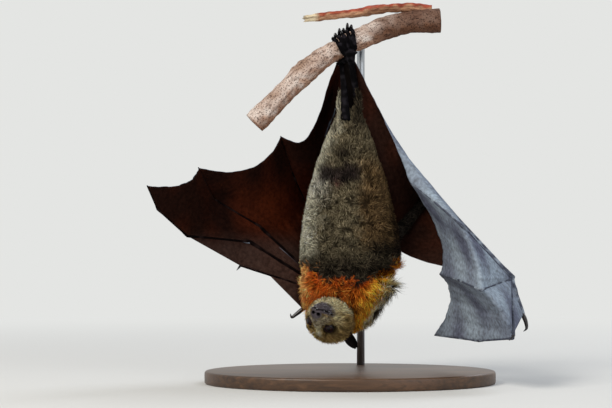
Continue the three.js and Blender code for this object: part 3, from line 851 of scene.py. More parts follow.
@dataclass(frozen=True)
class Markings:
    """The bat's colours, the same in its skin and in its coat."""

    belly: int = 0x524a39
    belly_pale: int = 0xadaa96
    belly_dark: int = 0x1d1813
    ochre: int = 0x4d3921
    whitish: int = 0x9c9a90
    crease_shade: int = 0x1a1315
    reddish: int = 0x5c3430
    flank_shade: int = 0x231a15
    # Near-black of the painted shade in the right armpit.
    armpit: int = 0x0d0a08
    back: int = 0x2f2a25
    rust: int = 0xb04c16
    peach: int = 0xfaa862
    gold: int = 0xf79c32
    # Brown: in the mantle, painted shade along the head's border; on the head, browner low at the back.
    tawny: int = 0x74421a
    amber: int = 0xffb850
    russet: int = 0xa4560f
    # Cream of the mantle's right edge: paler hair, brightened as painted backlight.
    backlit_straw: int = 0xffdf90
    # Blue-black beyond the mantle's right edge: the dark back, darkened further as painted shade.
    shaded_slate: int = 0x1c1d21
    # Near-white hair tips at the mantle's right edge: cream hair, brightened as painted backlight.
    backlit_right_tips: int = 0xfff0bc
    left_tips: int = 0xffd29a
    head: int = 0x7c6740
    crown: int = 0xa88c58
    cream: int = 0xded2a6
    muzzle: int = 0x565054
    muzzle_tips: int = 0xb4b2b4
    bridge: int = 0xa0957c
    lid: int = 0x171012
    dark_skin: int = 0x120d0f
    # Near-black of the painted shade in the nostrils' hollows.
    nostril: int = 0x050405

    def body(self, points: Array) -> Array:
        """Colours of the furred body at places on it, with painted shade in the right armpit, along the right
        flank where it meets the wing and in the fold across the belly.
        """
        x, z = points[:, 0], points[:, 2]
        _, depth = across_body(points)
        flank = x + 3 * ripple(points, 20, 33)
        edge = -16 - 24 * ease(z, 300, 200)
        # The last spot, near-black under the right arm, is painted shade in the armpit.
        spots = ((self.belly_dark, 1.0, -7, 249, 8, 8), (self.whitish, 0.6, -34, 215, 11, 14),
                 (self.reddish, 0.7, -13, 217, 5, 4), (self.armpit, 0.9, 36, 148, 15, 11))
        # A dark band along the fold across the belly: painted shade in the fold.
        from_fold = np.abs(z - 226.5 - 2.5 * ripple(points, 15, 35))
        band = ease(from_fold, 12, 5) * ease(x, -38, -28) * ease(x, 20, 4)
        colour = layered(
            plain(self.belly, len(points)),
            (self.belly_pale, 0.8 * ease(flank, edge + 14, edge - 8) * ease(z, 122, 150)),
            (self.ochre, 0.75 * ease(flank, 0, 22) * ease(z, 262, 225) * ease(z, 138, 160)),
            (self.belly_dark, 0.85 * ease(z + 3 * ripple(points, 18, 34), 158, 126)),
            (self.belly_dark, 0.8 * ease(flank, -2, 8) * ease(z, 262, 285)),
            # Darker on the right flank where it meets the wing: painted shade.
            (self.flank_shade, 0.9 * ease(flank, 42, 50) * ease(z, 136, 144)),
            *((code, share * np.exp(-(((x - at_x) / wide) ** 2 + ((z - at_z) / tall) ** 2)))
              for code, share, at_x, at_z, wide, tall in spots),
            (self.crease_shade, 0.9 * band),
            (self.back, ease(depth, 8, 26)),
        )
        colour = blend(colour, self.mantle(points), in_mantle(points))
        ruff = np.hypot(x + 33.3, z - 82.8) + 1.5 * ripple(points, 8, 36)
        return layered(colour, (self.head, 0.85 * ease(ruff, 19, 16) * ease(depth, 10, 0)))

    def mantle(self, points: Array) -> Array:
        """Colours of the mantle: peach at the left edge, rust in the middle, gold at the right. Painted shade
        browns it along the head's border, painted backlight brightens the cream of its right edge, and beyond
        that edge the dark grey back shows, darkened further by painted shade.
        """
        x, z = points[:, 0], points[:, 2]
        edge = mantle_side(points)
        near_head = np.hypot(x + 22, z - 76) + 2 * ripple(points, 14, 37)
        return layered(
            plain(self.rust, len(points)),
            (self.peach, 0.95 * ease(x + 3 * ripple(points, 12, 5), -38, -52)),
            (self.gold, 0.95 * ease(edge + 4 * ripple(points, 12, 6), 36, 18)),
            # Browner where the head meets the mantle: painted shade along the head's border.
            (self.tawny, 0.75 * ease(near_head, 36, 28) * ease(z, 66, 84) * ease(x, -36, -22)),
            (self.amber, 0.25 * ease(ripple(points, 9, 7), 0.1, 0.8)),
            (self.russet, 0.75 * ease(z, 110, 120) * ease(x, 20, 34)),
            # Cream along the right edge: paler hair tips, brightened further as painted backlight.
            (self.backlit_straw, 0.7 * ease(edge, 5, 1)),
            # Beyond the right edge, the dark grey back, darkened further as painted shade behind the mantle.
            (self.shaded_slate, 0.95 * ease(edge, -2, -4)),
        )

    def tips(self, points: Array) -> Array:
        """Colours of the ends of the body's hair: frosted on the belly, cream at the mantle's sides, the
        right side's cream brightened further as painted backlight.
        """
        side = mantle_side(points)
        glow = layered(
            self.mantle(points) * 1.35,
            # Near-white tips at the right edge: cream hair, brightened as painted backlight.
            (self.backlit_right_tips, 0.9 * ease(side, 7, 2) * ease(side, -4, -2)),
            (self.left_tips, 0.6 * ease(points[:, 0], -44, -58)),
        )
        return blend(self.body(points) * 1.9, glow, in_mantle(points))

    def face(self, points: Array) -> Array:
        """Colours of the head at places on it, given in the model's frame."""
        p = HEAD.to_head(points)
        half = mirrored(p)
        x, y, z = half.T
        cheek = np.linalg.norm(half - [15, 22, -7], axis=1)
        eye = np.linalg.norm(half - EYE, axis=1)
        mouth_corner = np.linalg.norm(half - MOUTH[-1], axis=1)
        return layered(
            plain(self.head, len(points)),
            (self.tawny, 0.5 * ease(y, 2, -14) * ease(z, 10, -2)),
            (self.crown, 0.7 * ease(z, 6, 16)),
            (self.bridge, 0.8 * ease(y, 27, 33) * ease(z, -9, -6)),
            (self.cream, 0.85 * ease(x, 5.5, 2.0) * ease(y, 14, 20) * ease(z, -5, 0) * ease(y, 36, 30)),
            (self.cream, 0.5 * ease(z, -11, -16) * ease(y, 30, 22)),
            (self.cream, 0.45 * np.exp(-((cheek / 6) ** 2))),
            (self.muzzle, self.bare_face(p)),
            (self.lid, 0.92 * ease(eye, 7.5, 6.1)),
            (self.dark_skin, 0.9 * ease(distance_to(half, MOUTH), 1.9, 0.9)),
            (self.dark_skin, 0.9 * ease(mouth_corner, 3.2, 1.8)),
            # Near-black in the nostrils: painted shade in their hollows.
            (self.nostril, ease(nostril_gap(half), 2.2, 1.5)),
        )

    @staticmethod
    def bare_face(p: Array) -> Array:
        """How bare the face is at places in the head's own frame: the lips, the chin and the nose pad."""
        lips = ease(p[:, 1], 23, 28) * ease(p[:, 2], -8.0, -11.0)
        nose = ease(p[:, 1], 41.2, 43.0)
        return np.maximum(lips, nose)


MARKINGS = Markings()


# ---------------------------------------------------------------- head


# Swellings and hollows of one side of the face: centre, reach and height in millimetres.
FACE_BUMPS: tuple[tuple[tuple[float, float, float], float, float], ...] = (
    ((9, 14, 13), 6, 1.3),  # brow
    ((0, 25, 7), 6, -1.6),  # stop, where the forehead meets the bridge of the nose
    ((14, 7, -7), 9, 1.3),  # cheek
    ((7.5, 36, -9), 4.5, 1.0),  # whisker pad
    ((0, 34, 3), 5, 0.5),  # bridge of the nose
    ((7.5, 30, 2), 6, -3.2),  # hollow between the bridge and the eye
    ((0, 25, 8), 6, -2.5),  # upper half of the stop, deeper
    ((17, 15, 4), 7, 1.8),  # temple behind the eye
    ((3.2, 43, -6.6), 2.8, 1.1),  # rim of the nostril
    ((0, 45, -7.5), 1.3, -1.6),  # groove between the nostrils
    ((0, 40, -15), 4, 0.8),  # chin
    ((6, 31, -17), 5, -1.0),  # behind the lower lip
)


@dataclass
class Head:
    """Furred head with its lids, nostrils, mouth and ears."""

    voxel: float = 1.0
    inset: float = 2.2
    mouth_depth: float = 1.1
    mouth_width: float = 0.9
    nostril_depth: float = 3.0
    lid_thick: float = 0.55
    lid_reach: float = 11
    lid_turn: float = 115
    lid_fade: float = 34
    rim_out: float = 0.25
    rim_colour: int = 0x2b1e22
    ear_at: tuple[float, float, float] = (18, -9, 7)
    ear_lean: tuple[float, float, float] = (0.58, -0.53, 0.6)
    ear_front: tuple[float, float, float] = (0.45, 0.85, 0.25)
    ear_length: float = 22
    ear_wide: float = 5.8
    ear_cup: float = 70
    ear_base: int = 0x4a3d3c
    ear_tip: int = 0x1a1516

    def shell(self) -> Mesh:
        """The head's skin, sculpted and inset by the depth of its short coat."""
        mesh = cast_of(["head"], self.voxel, 14)
        bm = bmesh.new()
        bm.from_mesh(mesh)
        half = mirrored(HEAD.to_head(np.array([v.co for v in bm.verts]) / MM))
        near = (np.linalg.norm(half - EYE, axis=1) < 10) | (half[:, 1] > 30)
        picked = {v for v, hit in zip(bm.verts, near) if hit}
        edges = [e for e in bm.edges if e.verts[0] in picked and e.verts[1] in picked]
        bmesh.ops.subdivide_edges(bm, edges=edges, cuts=1, use_grid_fill=True)
        bmesh.ops.triangulate(bm, faces=[f for f in bm.faces if len(f.verts) > 4])
        bm.to_mesh(mesh)
        bm.free()
        p = HEAD.to_head(corners(mesh))
        n = corner_normals(mesh) @ HEAD.matrix[:3, :3]
        half = mirrored(p)
        lift = -self.inset * ease(p[:, 1], 36, 16)
        for centre, reach, height in FACE_BUMPS:
            lift += height * np.exp(-np.sum((half - centre) ** 2, axis=1) / (reach * 0.7) ** 2)
        lift -= self.mouth_depth * np.exp(-((distance_to(half, MOUTH) / self.mouth_width) ** 2))
        p = p + n * lift[:, None]
        for side in Side:
            p = self.open_eye(p, side.sign)
        p[:, 1] -= self.nostril_depth * ease(nostril_gap(mirrored(p)), 2.0, 0.8)
        move_corners(mesh, HEAD.to_world(p))
        smoothed(mesh, 1, 0.3)
        return mesh

    def open_eye(self, p: Array, sign: int) -> Array:
        """Sets the skin round one eye: a lid on the ball's surface, and an opening through it.

        Args:
            p: The head's points, in its own frame.
            sign: Which side, -1 or 1.

        Returns:
            The moved points.
        """
        centre = EYE * [sign, 1, 1]
        gaze, long_way, short_way = self.eye_axes(sign)
        off = p - centre
        reach = np.linalg.norm(off, axis=1)
        side = off / np.maximum(reach, 1e-6)[:, None]
        turn = np.degrees(np.arccos(np.clip(side @ gaze, -1, 1)))
        angle = np.arctan2(side @ short_way, side @ long_way)
        opening = self.opening(angle)
        near = (reach < self.lid_reach) & (turn < self.lid_turn)
        inside = ease(turn, opening + 3, opening - 4) * near
        lid = ease(turn, opening + self.lid_fade, opening + 4) * (1 - inside) * near
        target = reach * (1 - inside - lid) + (EYE_RADIUS - 1.0) * inside
        target += (EYE_RADIUS + self.lid_thick) * lid
        return centre + side * target[:, None]

    @staticmethod
    def opening(angle: Array) -> Array:
        """How far from the gaze the lids stand, in degrees, at angles round the eye."""
        return 1 / np.hypot(np.cos(angle) / EYE_OPENING[0], np.sin(angle) / EYE_OPENING[1])

    @staticmethod
    def eye_axes(sign: int) -> tuple[Array, Array, Array]:
        """Where one eye looks, and the long and short way across its opening, in the head's frame."""
        gaze = unit(GAZE * [sign, 1, 1])
        long_way = np.array([-0.8 * sign, 0.57, -0.12])
        long_way = unit(long_way - gaze * (long_way @ gaze))
        return gaze, long_way, np.cross(gaze, long_way)

    def lids(self) -> list[Mesh]:
        """Rolled rims of the eyelids, one ring round each eye."""
        rings = []
        for side in Side:
            gaze, long_way, short_way = self.eye_axes(side.sign)
            angle = np.linspace(0, 2 * np.pi, 41)
            opening = np.radians(self.opening(angle))
            ring = np.outer(np.cos(opening), gaze) + np.outer(np.sin(opening) * np.cos(angle), long_way)
            ring += np.outer(np.sin(opening) * np.sin(angle), short_way)
            ring = EYE * [side.sign, 1, 1] + ring * (EYE_RADIUS + self.rim_out)
            rings.append(tube(HEAD.to_world(ring), 0.55 + 0.12 * np.cos(2 * angle), 8))
        return rings

    def eyeball(self, side: Side, material: Material) -> Object:
        """One eyeball with its gaze written into it.

        Args:
            side: Which eye.
            material: Its finish.

        Returns:
            The piece, in place of the CAD node.
        """
        bm = bmesh.new()
        bmesh.ops.create_uvsphere(bm, u_segments=40, v_segments=24, radius=EYE_RADIUS * MM)
        mesh = mesh_of(bm, "eye")
        gaze = HEAD.turned(self.eye_axes(side.sign)[0][None])[0]
        away = corners(mesh)
        turn = np.arccos(np.clip(unit(away) @ gaze, -1, 1)) / np.pi * 2
        bulge = 1 + 0.05 * ease(turn, 0.45, 0.1)
        layer = mesh.attributes.new("Gaze", "FLOAT", "POINT")
        layer.data.foreach_set("value", turn.astype(np.float32))
        move_corners(mesh, away * bulge[:, None] + HEAD.to_world((EYE * [side.sign, 1, 1])[None]))
        return part_of_bat(placed(mesh, f"eyeball_{side.value}", [material]), "eye", f"eye_{side.value}")

    def ear(self, side: Side) -> Mesh:
        """One pointed, cupped ear, thin at its rim."""
        sign = side.sign
        base = HEAD.to_world(np.array([[self.ear_at[0] * sign, *self.ear_at[1:]]]))[0]
        axis = HEAD.turned(unit(np.array([self.ear_lean[0] * sign, *self.ear_lean[1:]]))[None])[0]
        front = HEAD.turned(np.array([[self.ear_front[0] * sign, *self.ear_front[1:]]]))[0]
        front = unit(front - axis * (front @ axis))
        across = np.cross(axis, front)
        cup = math.radians(self.ear_cup)

        def surface(u: Array, v: Array) -> Array:
            """Points of the ear, which starts a little inside the head."""
            v = -0.12 + 1.12 * v
            full = np.clip(v, 0, 1)
            swell = 0.78 + 0.22 * np.sin(np.pi * full)
            half = self.ear_wide * np.sqrt(np.maximum(1 - full**3, 0.004)) * swell
            swing = (2 * u - 1) * cup
            point = base + np.outer(self.ear_length * v, axis) + np.outer(half * np.sin(swing), across)
            return point + np.outer(half * (1 - np.cos(swing)), front)

        mesh = sheet(surface, 22, 26, 0.8, lambda u, v: 0.12 * np.sin(u * 40 + v * 5))
        wear(mesh, SkinPart.BARE.value)
        height = (corners(mesh) - base) @ axis / self.ear_length
        paint(mesh, blend(tint(self.ear_base), tint(self.ear_tip), ease(height, 0.0, 0.5)))
        return mesh


class SkinPart(Enum):
    """Material numbers of the bat's one skin."""

    FURRED = 0
    BARE = 1
    INNER_WING = 2
    OUTER_WING = 3
    LEG = 4


def sheet(surface: Surface, columns: int, rows: int, thick: float, relief: Callable[[Array, Array], Array],
          outer: int = 1, relax: int = 0) -> Mesh:
    """Thin closed sheet of skin over a surface.

    Args:
        surface: The middle of the sheet.
        columns: Squares along u.
        rows: Squares along v.
        thick: Thickness in millimetres.
        relief: Height of the folds at u and v, in millimetres.
        outer: 1 if the outer face of the wing is where u crossed with v points, else -1.
        relax: How often the middle is evened out, with its edges held.

    Returns:
        The mesh, with its faces numbered as inner or outer wing and a map "Lay" of u and v.
    """
    bm = bmesh.new()
    bmesh.ops.create_grid(bm, x_segments=columns, y_segments=rows, size=0.5)
    lay = bm.loops.layers.uv.new("Lay")
    for face in bm.faces:
        for loop in face.loops:
            loop[lay].uv = (loop.vert.co.x + 0.5, loop.vert.co.y + 0.5)
    flat = np.array([v.co for v in bm.verts])
    u, v = flat[:, 0] + 0.5, flat[:, 1] + 0.5
    order = np.lexsort((u.round(6), v.round(6)))
    grid = surface(u, v)[order].reshape(rows + 1, columns + 1, 3)
    for _ in range(relax):
        inner = (grid[:-2, 1:-1] + grid[2:, 1:-1] + grid[1:-1, :-2] + grid[1:-1, 2:]) / 4
        grid[1:-1, 1:-1] += 0.8 * (inner - grid[1:-1, 1:-1])
    over = np.gradient(grid, axis=1)
    down = np.gradient(grid, axis=0)
    normals = unit(np.cross(over, down)).reshape(-1, 3)
    middle = grid.reshape(-1, 3)
    height = relief(u[order], v[order])
    raised = middle + normals * height[:, None]
    bm.verts.ensure_lookup_table()
    for index, point in zip(order, raised):
        bm.verts[int(index)].co = Vector(point * MM)
    bm.normal_update()
    bmesh.ops.solidify(bm, geom=bm.faces[:], thickness=thick * MM)
    bmesh.ops.recalc_face_normals(bm, faces=bm.faces)
    bm.normal_update()
    first = np.arange(rows * (columns + 1)).reshape(rows, columns + 1)[:, :-1].ravel()
    squares = np.stack([first, first + 1, first + columns + 2, first + columns + 1], axis=1)
    tree = BVHTree.FromPolygons([Vector(p * MM) for p in raised], squares.tolist())
    for face in bm.faces:
        _, normal, _, _ = tree.find_nearest(face.calc_center_median())
        facing = face.normal.dot(normal) * outer
        face.material_index = SkinPart.OUTER_WING.value if facing > 0.5 else SkinPart.INNER_WING.value
    return mesh_of(bm, "sheet")


# ---------------------------------------------------------------- wings


@dataclass(frozen=True)
class Bone:
    """Radii of one finger's bones, in millimetres."""

    knuckle: float
    shaft: float
    tip: float


FINGERS = {
    2: Bone(2.6, 1.7, 1.1),
    3: Bone(3.1, 2.2, 0.8),
    4: Bone(3.0, 2.0, 0.8),
    5: Bone(3.1, 2.1, 0.8),
}


@dataclass
class Wing:
    """One wing: forearm, fingers, thumb and membranes, hung between the joints of the CAD model."""

    side: Side
    shoulder: tuple[float, ...]
    elbow: tuple[float, ...]
    wrist: tuple[float, ...]
    digits: dict[int, list[tuple[float, ...]]]
    thumb: list[tuple[float, ...]]
    thumb_claw: list[tuple[float, ...]]
    claw_curl: tuple[float, ...]
    leading: list[tuple[float, ...]]
    calcar: tuple[float, ...]
    flank: list[tuple[float, ...]]
    trailing: list[tuple[float, ...]]
    web_reach: float
    outer: int
    bone_dark: int
    bone_pale: int
    slimness: float
    inner_colour: int = 0x26130d
    # Warm brown of the painted backlight glowing through the membrane.
    inner_backlit: int = 0x642c17
    # Greyish brown of a painted sheen on the inner face.
    inner_sheen: int = 0x4f3b34
    # Blue-greys of the outer face: a painted reflection of the sky.
    outer_sheen_dark: int = 0x6b7083
    outer_sky_sheen: int = 0xa5b4c2
    thick: float = 0.6

    def finger(self, n: int) -> list[tuple[float, ...]]:
        """Joints of one finger, from the wrist."""
        return [self.wrist, *self.digits[n]]

    def tip(self, n: int) -> Array:
        """Tip of one finger."""
        return np.array(self.digits[n][-1], float)

    def bones(self) -> list[Mesh]:
        """Forearm, fingers and thumb as smooth bare limbs with thicker knuckles."""
        inner_arm = np.add(np.multiply(self.elbow, 0.6), np.multiply(self.wrist, 0.4))
        forearm = through([self.elbow, inner_arm, self.wrist])
        limbs = [limb(forearm, 40, [0, 0.08, 0.4, 0.9, 1], [5.6, 6.4, 4.8, 4.6, 5.6], 16)]
        for n, bone in FINGERS.items():
            joints = self.finger(n)
            for i, (start, end) in enumerate(zip(joints[:-1], joints[1:])):
                taper = 1 - 0.2 * i
                last = i == len(joints) - 2
                knob = bone.knuckle * taper * self.slimness
                shaft = bone.shaft * taper * self.slimness * 0.92
                far = (shaft + bone.tip) / 2 if last else shaft
                end_radius = bone.tip if last else knob * 0.92
                radii = [knob * 0.86, knob, shaft, far, end_radius, end_radius * 0.86]
                limbs.append(limb(along([start, end]), 26, [0, 0.05, 0.16, 0.84, 0.95, 1], radii, 10))
        thumb = through([self.wrist, *self.thumb])
        limbs.append(limb(thumb, 26, [0, 0.3, 0.5, 0.6, 0.9, 1], [3.8, 3.0, 3.4, 2.6, 2.7, 2.4], 12))
        for mesh in limbs:
            wear(mesh, SkinPart.BARE.value)
            paint(mesh, self.bone_colours(mesh))
        return limbs

    def bone_colours(self, mesh: Mesh) -> Array:
        """Skin over the bones, like the side of the wing that they stand out from, in random patches; on the
        right wing that is the painted blue-grey reflection of the sky.
        """
        patchy_share = ease(ripple(corners(mesh), 16, 3), 0.1, 0.9)
        return blend(tint(self.bone_dark), tint(self.bone_pale), patchy_share)

    @staticmethod
    def pleats(seed: int, height: float, fade: float = 0.06) -> Callable[[Array, Array], Array]:
        """Folds that run from the arm to the free edge.

        Args:
            seed: Which pattern.
            height: Height of the deepest fold in millimetres.
            fade: Share of the width over which they die out at the fingers.

        Returns:
            Their height at u and v.
        """
        rng = np.random.default_rng(seed)
        turns = rng.uniform(0, 2 * np.pi, 6)

        def relief(u: Array, v: Array) -> Array:
            """Height of the folds at u and v."""
            warp = u + 0.018 * np.sin(v * 6 + turns[0]) + 0.01 * np.sin(v * 13 + turns[1])
            waves = zip((0.55, 0.34, 0.2), (3.3, 7.1, 13.7), turns[2:5])
            folds = sum(share * np.sin(2 * np.pi * often * warp + turn) for share, often, turn in waves)
            hold = ease(u, 0, fade) * ease(u, 1, 1 - fade) * ease(v, 0.0, 0.25)
            swell = 0.75 + 0.25 * np.sin(v * 5 + turns[5])
            return height * folds * hold * swell

        return relief

    def membranes(self) -> list[Mesh]:
        """All the sheets of the wing."""
        arm = along([self.shoulder, self.elbow, self.wrist])
        body = through([self.shoulder, *self.flank, self.calcar])
        trailing = through([self.calcar, *self.trailing, self.tip(5)])
        gutter = four_sided(arm, trailing, body, along_finger(self.finger(5)))
        wrist = np.array(self.wrist, float)
        outer = self.outer
        sheets = [sheet(gutter, 44, 42, self.thick, self.pleats(11, 1.1, 0.03), outer, relax=6)]
        for inner_digit, outer_digit, sag in ((5, 4, 0.17), (4, 3, 0.2)):
            rim = hollow_edge(self.tip(inner_digit), self.tip(outer_digit), wrist, sag)
            web = four_sided(lambda t: np.repeat(wrist[None], len(t), 0), rim,
                             along_finger(self.finger(inner_digit)), along_finger(self.finger(outer_digit)))
            sheets.append(sheet(web, 34, 40, self.thick, self.pleats(20 + inner_digit, 1.0), outer, relax=4))
        leading = through([self.shoulder, *self.leading, self.wrist])
        sheets.append(sheet(ruled(arm, leading), 40, 14, self.thick, self.pleats(31, 0.8), -outer))
        third = self.finger(3)
        if np.linalg.norm(self.tip(2) - third[1]) > 12:
            front = ruled(along([self.wrist, self.tip(2), third[2]]), along(third[:3]))
            sheets.append(sheet(front, 40, 8, self.thick, self.pleats(37, 0.3), outer))
        side_of_two = wrist + self.web_reach * (self.tip(2) - wrist)
        thumb_web = ruled(along([self.wrist, *self.thumb]), along([self.wrist, side_of_two]))
        sheets.append(sheet(thumb_web, 20, 8, self.thick, self.pleats(41, 0.3), outer))
        for mesh in sheets:
            self.colour_sheet(mesh)
        return sheets

    def colour_sheet(self, mesh: Mesh) -> None:
        """Paints a membrane: near-black brown inside, with a painted warm glow of backlight through the left
        wing's middle and a painted sheen greying it low on the left, and a painted blue-grey reflection of
        the sky outside.
        """
        points = corners(mesh)
        numbers = np.empty(len(mesh.polygons), np.int32)
        mesh.polygons.foreach_get("material_index", numbers)
        face = np.zeros(len(points))
        for polygon, number in zip(mesh.polygons, numbers):
            if number == SkinPart.OUTER_WING.value:
                face[list(polygon.vertices)] = 1.0
        # Painted backlight: a warm glow where light shines through the left wing's middle.
        thin = np.exp(-(((points[:, 0] + 82) / 42) ** 2 + ((points[:, 2] - 192) / 34) ** 2))
        inner = layered(
            plain(self.inner_colour, len(points)),
            (self.inner_backlit, np.clip(thin + 0.15 * ripple(points, 40, 8), 0, 1)),
            # Greyer low on the left wing: a painted sheen.
            (self.inner_sheen, 0.8 * ease(points[:, 0], -50, -66) * ease(points[:, 2], 172, 140)),
        )
        # Outside, blue-grey: a painted reflection of the sky, paler in broad patches.
        pale = np.clip(0.55 + 0.5 * ripple(points, 70, 9), 0, 1)
        outer = blend(tint(self.outer_sheen_dark), tint(self.outer_sky_sheen), pale)
        paint(mesh, blend(inner, outer, face))

    def claws(self, material: Material) -> None:
        """Claws of the thumb and of the second finger, in place of their CAD nodes."""
        name = self.side.value
        hook = through([self.thumb[-1], *self.thumb_claw])
        thumb_claw = limb(hook, 30, [0, 0.15, 0.6, 1], [2.3, 2.5, 1.7, 0.25], 12)
        part_of_bat(placed(thumb_claw, f"thumb_horn_{name}", [material]), "claw", f"thumb_claw_{name}")
        start = self.tip(2)
        bend = start + np.multiply(self.claw_curl, 0.5) + [0, -1, 0]
        small = through([start, bend, start + np.array(self.claw_curl)])
        digit_claw = limb(small, 30, [0, 0.4, 1], [1.5, 1.1, 0.25], 10)
        part_of_bat(placed(digit_claw, f"digit2_horn_{name}", [material]), "claw", f"digit2_claw_{name}")


LEFT_WING = Wing(
    side=Side.LEFT, shoulder=(-35, 26, 157), elbow=(-10, 75, 245), wrist=(-16, 62, 94),
    digits={2: [(-122, 50, 128)],
            3: [(-112, 55, 155), (-180, 15, 162), (-210, -32, 192), (-219, -58, 217)],
            4: [(-101, 62, 172), (-152, 38, 203), (-166, -15, 237)],
            5: [(-46, 124, 193), (-62, 89, 228), (-77, 69, 274)]},
    thumb=[(-29, 59, 88), (-52, 50, 79.5)],
    thumb_claw=[(-59, 49, 74), (-64.5, 48, 70.5), (-66, 47, 74.5)], claw_curl=(-4, -6, -5),
    leading=[(-30, 44, 140), (-22, 58, 116)], calcar=(-15, 9, 352),
    flank=[(-36, 28, 176), (-40, 24, 205), (-33, 18, 240), (-20, 12, 272), (-6, 5, 305), (-9, 11, 332),
           (-9, 10, 349)],
    trailing=[(-24, 16, 329), (-38, 34, 287), (-55, 52, 266.5)], web_reach=0.7, outer=1,
    bone_dark=0x0f0808, bone_pale=0x2e211f, slimness=0.85,
)
# The right wing's bone colours are a painted blue-grey reflection of the sky.
RIGHT_WING = Wing(
    side=Side.RIGHT, shoulder=(40, 7, 154), elbow=(92, 85, 211), wrist=(176, -12, 115),
    digits={2: [(170, -117, 60)],
            3: [(169, -111, 56), (138, -37, 49), (96, 52, 50)],
            4: [(135, -121, 107), (117, -60, 115), (99, 4, 120)],
            5: [(115, -106, 175), (91, -68, 198), (65, -26, 221)]},
    thumb=[(179, -22, 103), (186, -44, 78)],
    thumb_claw=[(188.5, -51, 70), (188.5, -57, 63.5), (185, -61, 60.5)], claw_curl=(-5, 3, -6),
    leading=[(75, 12, 136), (128, 2, 124)], calcar=(5, -14, 353),
    flank=[(46, 10, 176), (38, 10, 205), (27, 9, 240), (17, 8, 272), (9, 6, 305), (6, 0, 332)],
    trailing=[(26, -6.5, 312), (43, -6, 276.5), (56, -12.5, 246.5)], web_reach=0.95, outer=-1,
    # Its inner brown is a lighter copy of the left wing's: painted light where its inner face lies in shade.
    bone_dark=0x555a68, bone_pale=0x97a2ae, slimness=0.72, inner_colour=0x36211a,
)


def arm_gap(points: Array) -> Array:
    """Distance from each place to the middle of the nearer upper arm."""
    arms = (np.array([wing.shoulder, wing.elbow], float) for wing in (LEFT_WING, RIGHT_WING))
    return np.minimum(*(distance_to(points, arm) for arm in arms))


# ---------------------------------------------------------------- body, legs and the one skin


@dataclass
class Body:
    """Trunk, neck, shoulders, thighs and upper arms under one skin, and the bare legs and feet."""

    voxel: float = 2.4
    furred: tuple[str, ...] = (
        "trunk", "neck", "shoulders", "thigh_left", "thigh_right", "upper_arm_left", "upper_arm_right")
    inset: float = 4.2
    mantle_inset: float = 3.0
    ankle_inset: float = 1.0
    arm_inset: float = 2.4
    heel_radius: float = 3.2
    leg_dark: int = 0x0b0a0c
    # Bluish grey of the pale patches: partly the skin's own tone, partly a painted sheen.
    leg_pale: int = 0x2b282d
    web_colour: int = 0x0a0605

    def shell(self) -> Mesh:
        """The furred body's skin, inset by the depth of the coat."""
        mesh = cast_of(self.furred, self.voxel, 12)
        points, normals = corners(mesh), corner_normals(mesh)
        move_corners(mesh, points - normals * self.coat_depth(points)[:, None])
        smoothed(mesh, 6)
        return mesh

    def coat_depth(self, points: Array) -> Array:
        """How deep the coat is over places on the body's outline, in millimetres."""
        z = points[:, 2]
        full = ease(z, 330, 290)
        depth = (self.inset + self.mantle_inset * ease(z, 135, 100)) * full + self.ankle_inset * (1 - full)
        slim = ease(arm_gap(points), 20, 12) * ease(np.abs(points[:, 1] - 5), 25, 45)
        return depth * (1 - slim) + self.arm_inset * slim

    def legs(self) -> list[Mesh]:
        """Bare shanks and feet."""
        shanks = [along([(-5, -13, 288), (-8, 8, 353)]), through([(9, 8, 290), (6, 0, 322), (1, -15, 354)])]
        parts = [limb(shank, 34, [0, 0.1, 0.5, 0.92, 1], [6.0, 5.2, 3.6, 3.4, 4.2], 16) for shank in shanks]
        heels = through([(-9, 6, 354), (-3.5, -4, 356), (2, -14, 357)])
        parts += [limb(heels, 34, [0, 1], [self.heel_radius] * 2, 12), *(self.foot(side) for side in Side)]
        for mesh in parts:
            wear(mesh, SkinPart.LEG.value)
            # Pale bluish patches on the black legs: partly the skin's own tone, partly a painted sheen.
            patchy_share = 0.7 * ease(ripple(corners(mesh), 9, 4), 0, 0.9)
            paint(mesh, blend(tint(self.leg_dark), tint(self.leg_pale), patchy_share))
        web = sheet(ruled(*shanks), 20, 10, 0.6, lambda u, v: 0.3 * np.sin(9 * v + 4 * u))
        wear(web, SkinPart.INNER_WING.value)
        paint(web, plain(self.web_colour, len(web.vertices)))
        return [*parts, web]

    @staticmethod
    def foot(side: Side) -> Mesh:
        """One foot and its toes, rounded, and as thick as before the rounding."""
        mesh = cast_of([f"foot_{side.value}"], 0.6, 5)
        move_corners(mesh, corners(mesh) + 0.35 * corner_normals(mesh))
        return mesh


@dataclass
class Tufts:
    """A crop of tufts, one row for each, in millimetres and radians.

    Attributes:
        roots: Where each tuft starts.
        normals: The skin's normal there.
        lie: The way the hair lies there, along the skin.
        length: Length of each tuft.
        width: Its width.
        lift: How steeply it leaves the skin.
        colour: Colour of its lower half.
        tip: Colour of its end.
        unwrap: Its root's place on an unwrap of the skin, from 0 to 1.
    """

    roots: Array
    normals: Array
    lie: Array
    length: Array
    width: Array
    lift: Array
    colour: Array
    tip: Array
    unwrap: Array


